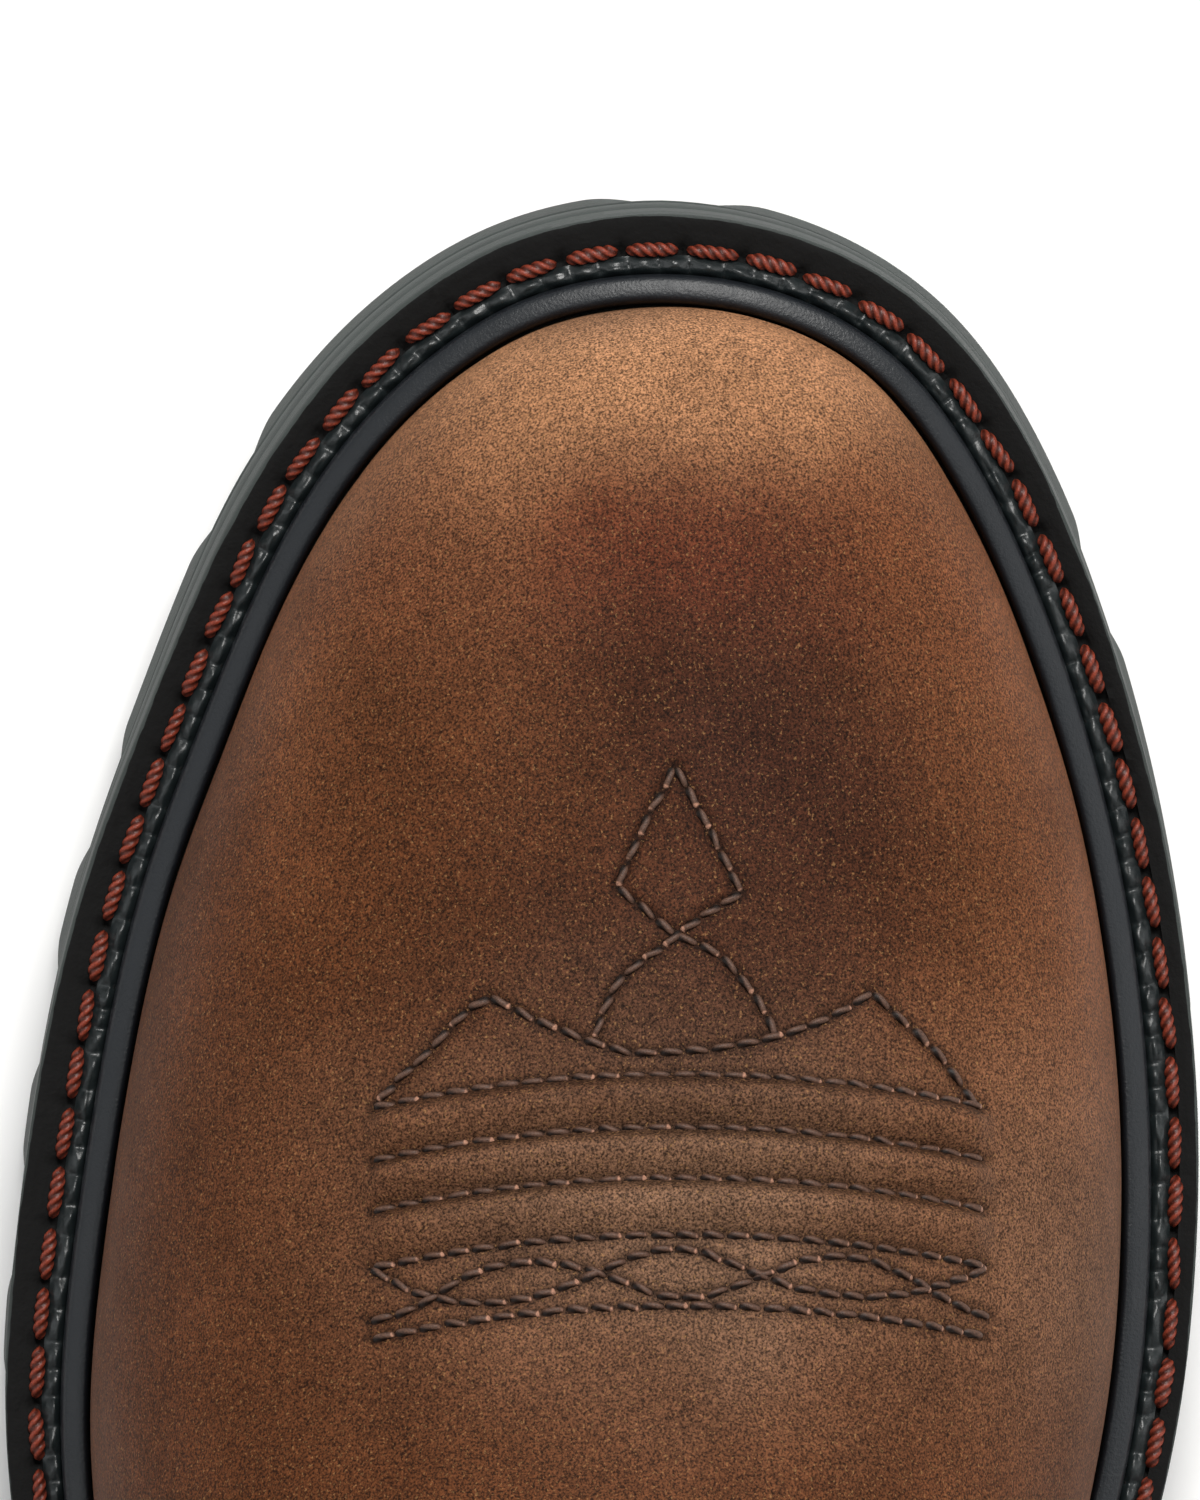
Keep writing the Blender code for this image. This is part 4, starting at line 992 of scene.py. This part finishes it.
def make_counter(material, thread_material):
    """Counter over both flanks of the heel with a stitched top edge."""
    table = np.array(COUNTER_EDGE)
    s = np.concatenate([np.linspace(table[0, 0], ZIP, 50), np.linspace(ZIP, table[-1, 0], 26)[1:]])
    first = steady(table[:, 0], table[:, 1], s)[:, None]
    t = np.linspace(0, 1, 26)[None, :]
    outer, inner, faces = [], [], []
    for side in (1, -1):
        b = side * (first + (1 - first) * t)
        start = sum(len(part) for part in outer)
        outer.append(body_point(s[:, None], b, 0.0).reshape(-1, 3))
        inner.append(body_point(s[:, None], b, OVERLAY_THICK).reshape(-1, 3))
        quads = grid_faces(len(s), 26, start)
        faces += (quads if side < 0 else quads[:, ::-1]).tolist()
    points, faces = thick(np.vstack(outer), np.vstack(inner), faces)
    new_piece("counter_leather", "counter", "counter_leather", points, faces, material, angle=50)
    rows_of_thread = []
    at = np.linspace(5.2, 12.2, 300)
    for side in (1, -1):
        for k, drop in enumerate((0.025, 0.05)):
            b = side * np.minimum(steady(table[:, 0], table[:, 1], at) + drop, 0.99)
            rows_of_thread.append(edge_stitches(at, b, 70 + k))
    thread_piece("counter_thread", "counter", "counter_leather", rows_of_thread, thread_material)


def make_side_seam(node, slot, side, material):
    """Raised strip on the side of the shaft: a half-round section along the widest line."""
    s = np.linspace(8.6, 15.2, 60)[:, None]
    under = station(s)[..., 7]
    middle = 1 / (1 + under)
    step = 0.02
    beside = body_point(s, side * (middle + step), 0.0)
    span = np.linalg.norm(beside - body_point(s, side * middle, 0.0), axis=-1) / step
    across = np.linspace(-0.5, 0.5, 9)[None, :]
    b = side * (middle + across * SEAM_WIDTH / span)
    crown = 0.0009 * (2 * np.abs(across)) ** 2.5
    outer = body_point(s, b, crown + 0 * b)
    inner = body_point(s, b, OVERLAY_THICK)
    points, faces = thick(outer.reshape(-1, 3), inner.reshape(-1, 3), grid_faces(60, 9).tolist())
    new_piece(node + "_strip", node, slot, points, faces, material, angle=60)


def make_binding(material):
    """Folded strip over the collar: a section swept round the rim."""
    b = np.linspace(-1, 1, 241)[:-1]
    face = UPPER_INSET + WALL + FIT
    back = face + BINDING_THICK
    # Inset, share of the drop down the shaft and lift above the rim
    section = ((OVERLAY_THICK, 1.0, 0.0), (FIT + 0.0003, 1.0, 0.0), (FIT, 0.9, 0.0),
               (FIT, 0.0, 0.0002), (0.0006, 0.0, 0.0009), (0.0014, 0.0, 0.0014),
               (0.0028, 0.0, 0.0016), (face, 0.0, 0.0014), (face + 0.0008, 0.0, 0.0009),
               (back, 0.0, 0.0002), (back, 0.9, 0.0), (face + 0.0009, 1.0, 0.0),
               (face, 1.0, 0.0), (face, 0.0, FIT), (OVERLAY_THICK, 0.0, FIT))
    loops = []
    for inset, low, lift in section:
        near = body_point(COLLAR - 0.05, b, inset)
        top = body_point(COLLAR - 1e-9, b, inset)
        fall = 0.05 * BINDING_DROP / np.linalg.norm(top - near, axis=-1)
        loops.append(body_point(COLLAR - low * fall, b, inset) + np.array([0.0, 0.0, lift]))
    band_piece("collar_fold", "collar_binding", "binding_leather", loops + loops[:1], material, 60)


def make_strap(node, slot, side, material):
    """Pull loop over the collar: an outer leg, an arch and an inner leg with rounded edges."""
    across = np.linspace(-0.5, 0.5, 11)[None, :]
    gap = body_point(COLLAR - 0.5, side * 0.52, 0.0) - body_point(COLLAR - 0.5, side * 0.48, 0.0)
    b = side * (0.5 + across * 0.04 * STRAP_WIDTH / np.linalg.norm(gap))
    inner_leg = UPPER_INSET + WALL + 4 * FIT + BINDING_THICK
    s = np.linspace(COLLAR - 1.45, COLLAR - 1e-9, 24)[:, None]
    round_off = 0.0006 * (2 * np.abs(across)) ** 8
    skins = []
    for grow in (STRAP_THICK, 0.0):
        ease = round_off if grow else 0 * round_off
        outside = body_point(s, b, -grow + ease + 0 * s)
        inside = body_point(s[::-1], b, inner_leg + grow - ease + 0 * s)
        top_out, top_in = outside[-1], inside[0]
        middle = (top_out + top_in) / 2
        turn = np.linspace(0, math.pi, 21)[:, None, None]
        arch = middle + np.array([0.0, 0.0, STRAP_RISE]) + (top_out - middle) * np.cos(turn)
        arch = arch + np.array([0.0, 0.0, 1.0]) * np.sin(turn) * (inner_leg / 2 + grow)
        skins.append(np.concatenate([outside, arch, inside]).reshape(-1, 3))
    points, faces = thick(skins[0], skins[1], grid_faces(len(skins[0]) // 11, 11).tolist())
    new_piece(node + "_loop", node, slot, points, faces, material, angle=60)


def bead_profile():
    """Section of the bead as distances out and shares of its rise: steep beside the leather, a
    flat crown that slants outward and a rounded fall to the lip."""
    table = np.array(((0.22, -0.1), (0.26, 0.35), (0.33, 0.70), (0.50, 0.91), (0.80, 1.0),
                      (1.20, 0.99), (1.60, 0.945), (2.00, 0.885), (2.40, 0.82), (2.75, 0.735),
                      (3.00, 0.60), (3.15, 0.40), (3.22, 0.15), (3.24, -0.1)))
    knots = np.arange(len(table))
    at = np.linspace(0, len(table) - 1, 27)
    return steady(knots, table[:, 0] * MM, at), spline(knots, table[:, 1], at)[:, 0]


def trough_path(height, steps):
    """Loop above the stitch trough, the same with its start again, and the distance along it."""
    path = inner_loop(STITCH_MARGIN, height, steps)
    closed = np.vstack([path, path[:1]])
    return path, closed, run_lengths(closed)


def make_welt(band, dusty_lit_side, bead, lip, thread_material):
    """Welt band with its stitch trough, a side that is partly dust and partly painted light, satin
    bead, pressed lip and lock stitches.
    """
    base, top, trough = WELT_BASE, WELT_TOP, STITCH_MARGIN
    steps = 700
    # Distance out of the last, or of the margin where a flare is given, height and flare
    profile = ((0.0016, base, None), (0.0034, top, None), (trough - 0.0011, top - 0.0002, None),
               (trough - 0.0006, top - 0.0004, None), (trough - 0.0002, top - 0.0005, None),
               (trough + 0.0002, top - 0.0005, None), (trough + 0.0006, top - 0.0003, None),
               (-0.0018, top - 0.0002, 0.0), (-0.0010, top - 0.0001, 0.0), (-0.0003, top, 0.0),
               (-0.0001, top - 0.0001, 0.0), (-0.0004, top - 0.0006, 0.0), (-0.0007, base, 0.2))
    grid = np.stack([inner_loop(out, height, steps) if flare is None
                     else sole_loop(out, height, flare, steps) for out, height, flare in profile])
    path, closed, gap = trough_path(top - 0.0004, steps)
    count = int(round(gap[-1] / LOCK_STITCH[0]))
    place = (gap[:-1] / gap[-1] * count) % 1.0
    dent = np.exp(-(np.minimum(place, 1 - place) / 0.085) ** 2)
    for level, depth in ((3, 0.5), (4, 1.0), (5, 1.0), (6, 0.5)):
        grid[level, :, 2] -= depth * MM * dent
    length_mm = gap[:-1] / MM
    for level in range(7, 10):
        rough = value_noise(length_mm, np.full(len(length_mm), level * 1.7), 1.1, 11)
        grid[level, :, 2] += 0.10 * MM * rough
    ragged = (value_noise(length_mm, 0 * length_mm, 0.8, 12) * 0.05
              + value_noise(length_mm, 0 * length_mm, 6.0, 13) * 0.09)
    outward = unit(grid[11] - grid[6])
    for level in (9, 10):
        grid[level] += outward * (ragged * MM)[:, None]
    band_piece("welt_band", "welt", "welt_black", grid, band, 60)
    profile = ((-0.0009, top - 0.0006, 0.0), (-0.0003, top - 0.0004, 0.0),
               (0.0001, top - 0.0006, 0.02), (0.0001, top - 0.0015, 0.16),
               (0.0001, base + 0.0002, 0.36), (-0.0002, base, 0.38), (-0.0009, base, 0.3))
    # The welt's own side in the sole's grey side rubber: partly dust, partly painted light, lighter
    # than the welt's black top because it faces the lights
    band_piece("welt_side", "welt", "welt_black",
               [sole_loop(out, height, flare, 400) for out, height, flare in profile],
               dusty_lit_side, 60)
    slope = unit(np.gradient(closed, axis=0))
    up = unit(np.array([0.0, 0.0, 1.0]) - slope * slope[:, 2:3])
    stitches = stitch_mesh(closed + up * 0.15 * MM, up, (gap[-1] / count, *LOCK_STITCH[1:]),
                           3, -1.6, 0.30 * MM, 5, steps=33, sides=24, tilt=0.04, blunt=4.0)
    thread_piece("lock_stitch", "welt", "welt_black", [stitches], thread_material)
    rise = steady((0.0, 0.42, 0.56, 1.0), (0.0, 0.0, 1.0, 1.0), np.linspace(0, 1, 221))
    rise = np.concatenate([rise, rise[-2:0:-1]])
    loops = []
    for out, level in zip(*bead_profile()):
        shape = inner_loop(out, top)
        shape[:, 2] += BEAD_RISE * level * rise - 0.0013 * (1 - rise)
        shift = inner_loop(out + 0.0013, top)[:, :2] - shape[:, :2]
        shape[:, :2] += shift * (1 - rise)[:, None]
        loops.append(shape)
    band_piece("welt_bead", "welt", "welt_black", loops, bead)
    steps = 1500
    path, _, gap = trough_path(top, steps)
    phase = gap[:-1] / gap[-1] * count
    jitter = value_noise(phase, 0 * phase, 1.0, 23) * 0.22
    fade = np.interp(path[:, 0], [0.06, 0.12], [0.3, 1.0])
    loops = []
    for k, out in enumerate(np.linspace(0.0031, 0.0051, 13)):
        loop = inner_loop(out, top - 0.0003, steps)
        arch = math.sin(math.pi * (k / 12) ** 0.8)
        pleat = np.abs(np.cos(2 * math.pi * (phase + jitter + 0.05 * k / 12))) ** 0.8
        lumps = value_noise(gap[:-1] / MM, np.full(len(phase), k * 0.5), 1.1, 22)
        loop[:, 2] += (0.35 + (0.75 * pleat + 0.16 * lumps) * fade) * arch * MM
        loops.append(loop)
    band_piece("welt_lip", "welt", "welt_black", loops, lip)


def make_sole(outsole_material, midsole_material, insole_material):
    """Outsole sheet with a moulded side line and lugs, the midsole and the footbed."""
    levels = ((-0.0012, 0.0, 1.0), (-0.0006, 0.0003, 1.0), (-0.0002, 0.0009, 0.99),
              (-0.0001, 0.0022, 0.94), (0.0, LUG_TOP, LUG_TOP_FLARE),
              (-0.0001, LUG_TOP + 0.0002, LUG_TOP_FLARE), (-0.0003, LUG_TOP + 0.0004, 0.86),
              (-0.0004, OUTSOLE_THICK, 0.82))
    parts = [slab([sole_loop(*level) for level in levels])]
    for side, start, stop in LUGS:
        parts.append(edge_lug(side, start, stop))
    for k in range(7):
        wide = 0.013 if k in (0, 6) else 0.017
        x = SOLE_BACK + SOLE_LENGTH * (0.535 + 0.0565 * k)
        parts.append(middle_lug(x, -0.001, 0.0085, wide, 0.004))
    points, faces = [], []
    for part_points, part_faces in parts:
        faces += [[len(points) + i for i in face] for face in part_faces]
        points += part_points.tolist()
    new_piece("outsole_body", "outsole", "outsole_rubber", points, faces, outsole_material,
              angle=40)
    base = OUTSOLE_THICK + FIT
    levels = ((-0.0003, base, 0.77), (0.0, base + 0.0002, 0.75), (0.0001, base + 0.0015, 0.6),
              (0.0, base + MIDSOLE_THICK - 0.0002, 0.42), (-0.0002, base + MIDSOLE_THICK, 0.40))
    new_piece("midsole_body", "midsole", "midsole_rubber",
              *slab([sole_loop(*level) for level in levels]), midsole_material, angle=50)
    inside = -(TUCK_IN + UPPER_INSET + WALL + 0.0005)
    levels = ((inside, WELT_BASE), (inside, WELT_BASE + INSOLE_THICK - 0.0005),
              (inside - 0.0005, WELT_BASE + INSOLE_THICK))
    new_piece("insole_body", "insole", "footbed", *slab([inner_loop(*level) for level in levels]),
              insole_material, angle=50)


def prism_levels(polygon, levels):
    """Solid with stacked copies of a plan polygon, each scaled about its middle and set at a
    height function."""
    centre = polygon.mean(axis=0)
    loops = []
    for scale, height in levels:
        plan = centre + (polygon - centre) * scale
        loops.append(np.column_stack([plan, height(plan[:, 0])]))
    return capped(loops)


def edge_lug(side, start, stop):
    """Lug at the sole's edge between two shares of the way: stacked outlines that slant into the
    wall above, with ends that swing back into it as a smooth step."""
    loops = []
    for grow, step_in, height, flare, reach in (
            (-0.0006, 0.0004, -LUG_DEPTH, 1.0, 1.0), (0.0, 0.0, 0.0004 - LUG_DEPTH, 1.0, 1.0),
            (LUG_TAPER * 0.5, 0.0, 0.0008, 0.99, 0.9),
            (LUG_TAPER, 0.0003, LUG_TOP, LUG_TOP_FLARE, 0.0)):
        first, last = start - grow - 0.4 * LUG_BEVEL, stop + grow + 0.4 * LUG_BEVEL
        share = np.linspace(first, last, 81)
        ends = np.clip(np.minimum(share - first, last - share) / LUG_BEVEL, 0, 1)
        out = margin(side, share, flare) + LUG_REACH * (reach - 1.9 * (1 - soft(0.0, 1.0, ends)))
        front = np.column_stack(edge_at(side, share, out - step_in))
        back = np.column_stack(edge_at(side, share[::-1], out[::-1] - LUG_INWARD))
        plan = np.vstack([front, back])
        loops.append(np.column_stack([plan, sole_under(plan[:, 0]) + height]))
    return capped(loops)


def middle_lug(x, y, long, wide, skew):
    """Bar lug in the middle of the sole, pointed forward."""
    plan = np.array([[x - long / 2, y - wide], [x + long / 2, y - wide],
                     [x + long / 2 + skew, y], [x + long / 2, y + wide],
                     [x - long / 2, y + wide], [x - long / 2 + skew, y]])
    return prism_levels(plan, ((0.92, lambda x: sole_under(x) - LUG_DEPTH),
                               (0.94, lambda x: sole_under(x) - LUG_DEPTH + 0.0004),
                               (1.0, lambda x: sole_under(x) + 0.0010)))


def heel_loop(inset, height, breast):
    """Closed loop of the heel: the sole's edge behind the breast and a hollowed breast line."""
    share = [share_at_x(side, HEEL_BREAST + 0.002) for side in (1, -1)]
    outer = np.linspace(0, share[0], 40)
    inner = np.linspace(share[1], 0, 40)[:-1]
    lateral = np.column_stack(edge_at(1, outer, margin(1, outer, 1.0) - inset))
    medial = np.column_stack(edge_at(-1, inner, margin(-1, inner, 1.0) - inset))
    lateral[-1, 0] = breast
    medial[0, 0] = breast
    t = np.linspace(0, 1, 14)[1:-1]
    line_y = lateral[-1, 1] + (medial[0, 1] - lateral[-1, 1]) * t
    line_x = breast - 0.004 * np.sin(math.pi * t)
    plan = np.vstack([lateral, np.column_stack([line_x, line_y]), medial])
    return np.column_stack([plan, np.full(len(plan), height)])


def make_heel(block_material, cap_material):
    """Heel block with grooves between its layers, and the top lift."""
    top, base = HEEL_HEIGHT - FIT, CAP_THICK + FIT
    # Inset from the sole's edge, height and place of the breast
    block = ((0.0045, base, 0.001), (0.0034, base + 0.005, 0.002), (0.0042, base + 0.0055, 0.0012),
             (0.0038, base + 0.0075, 0.0016), (0.0028, base + 0.008, 0.0026),
             (0.0018, base + 0.0135, 0.0036), (0.0026, base + 0.014, 0.0028),
             (0.0022, base + 0.016, 0.0032), (0.0012, base + 0.0165, 0.0042), (0.0004, top, 0.005))
    lift = ((0.0064, 0.0, -0.0012), (0.0056, 0.0008, -0.0004), (0.0046, CAP_THICK, 0.0))
    for name, node, slot, levels, breast, material in (
            ("heel_block", "heel", "heel_rubber", block, HEEL_BREAST, block_material),
            ("heel_lift", "heel_cap", "cap_rubber", lift, HEEL_FACE_HALF, cap_material)):
        loops = [heel_loop(inset, height, breast + ahead) for inset, height, ahead in levels]
        new_piece(name, node, slot, *capped(loops), material, angle=30)


def make_stage():
    """Pale floor, soft lights and the camera over the toe."""
    mesh = bpy.data.meshes.new("floor")
    mesh.from_pydata([(-4, -4, 0), (4, -4, 0), (4, 4, 0), (-4, 4, 0)], [], [(0, 1, 2, 3)])
    mesh.materials.append(new_material("floor", "floor", 0.9, 0.1)[0])
    floor = bpy.data.objects.new("floor", mesh)
    bpy.context.scene.collection.objects.link(floor)
    # Name, place, target, side, power and colour
    lights = (("key", (0.92, -0.15, 1.15), (0.20, 0.0, 0.03), 0.55, 17.0, (1.0, 0.985, 0.96)),
              ("fill", (0.1, 1.1, 0.9), (0.18, 0.0, 0.03), 0.9, 2.5, (0.96, 0.98, 1.0)),
              ("rim", (0.15, -1.2, 0.7), (0.18, 0.0, 0.03), 0.9, 3.5, (1.0, 1.0, 1.0)))
    for name, place, target, size, power, color in lights:
        data = bpy.data.lights.new(name, "AREA")
        data.shape = "SQUARE"
        data.size = size
        data.energy = power
        data.color = color
        lamp = bpy.data.objects.new(name, data)
        bpy.context.scene.collection.objects.link(lamp)
        lamp.location = place
        x, y, z = np.array(place) - np.array(target)
        lamp.rotation_euler = (math.atan2(math.hypot(x, y), z), 0.0, math.atan2(y, x) + math.pi / 2)
    world = bpy.data.worlds.new("studio")
    world.use_nodes = True
    background = world.node_tree.nodes["Background"]
    background.inputs[0].default_value = (1.0, 1.0, 1.0, 1.0)
    background.inputs[1].default_value = 0.42
    bpy.context.scene.world = world
    bpy.context.scene.view_settings.view_transform = "Standard"
    distance, frame_height, sensor = 1.35, 0.1485, 24.0
    data = bpy.data.cameras.new("camera")
    data.sensor_fit = "VERTICAL"
    data.sensor_height = sensor
    data.lens = sensor * distance / frame_height
    data.clip_end = 20.0
    camera = bpy.data.objects.new("camera", data)
    bpy.context.scene.collection.objects.link(camera)
    camera.location = (0.2130, 0.0001, 0.016 + distance)
    camera.rotation_euler = (0.0, 0.0, -math.pi / 2)
    bpy.context.scene.camera = camera


def main():
    """Build every piece, the floor, the lights and the camera."""
    vamp_skin = leather("vamp_leather_skin", "leather", attribute="shade")
    plain = leather("shaft_leather_skin", "shaft")
    lining = leather("lining_leather_skin", "lining", rough=0.75)
    dark_thread = thread("dark_thread", "thread_dark", 0.5, 0.25, 0.15)
    rust_thread = thread("rust_thread", "thread", 0.42, 0.35, 0.38)
    make_vamp(vamp_skin, dark_thread)
    make_upper(plain, lining)
    make_counter(leather("counter_leather_skin", "leather"), dark_thread)
    strap_skin = leather("strap_leather_skin", "strap")
    sides = (("lateral", 1), ("medial", -1))
    for word, side in sides:
        make_side_seam("side_seam_" + word, "seam_leather_" + word, side, strap_skin)
    make_binding(strap_skin)
    for word, side in sides:
        make_strap("pull_strap_" + word, "strap_" + word, side, strap_skin)
    side_skin = rubber("sole_side_skin", "side", 0.62, 0.35, 0.08, specular=0.4, spread=0.22)
    make_welt(rubber("welt_band_skin", "black", 0.8, 0.6, 0.12, specular=0.15), side_skin,
              rubber("bead_skin", "bead", 0.40, 0.35, 0.06, specular=0.42),
              rubber("lip_skin", "lip", 0.34, 0.6, 0.06), rust_thread)
    make_sole(side_skin, side_skin, leather("footbed_skin", "footbed", rough=0.8))
    make_heel(side_skin, rubber("cap_skin", "black", 0.6, 0.4, 0.03))
    make_stage()


main()
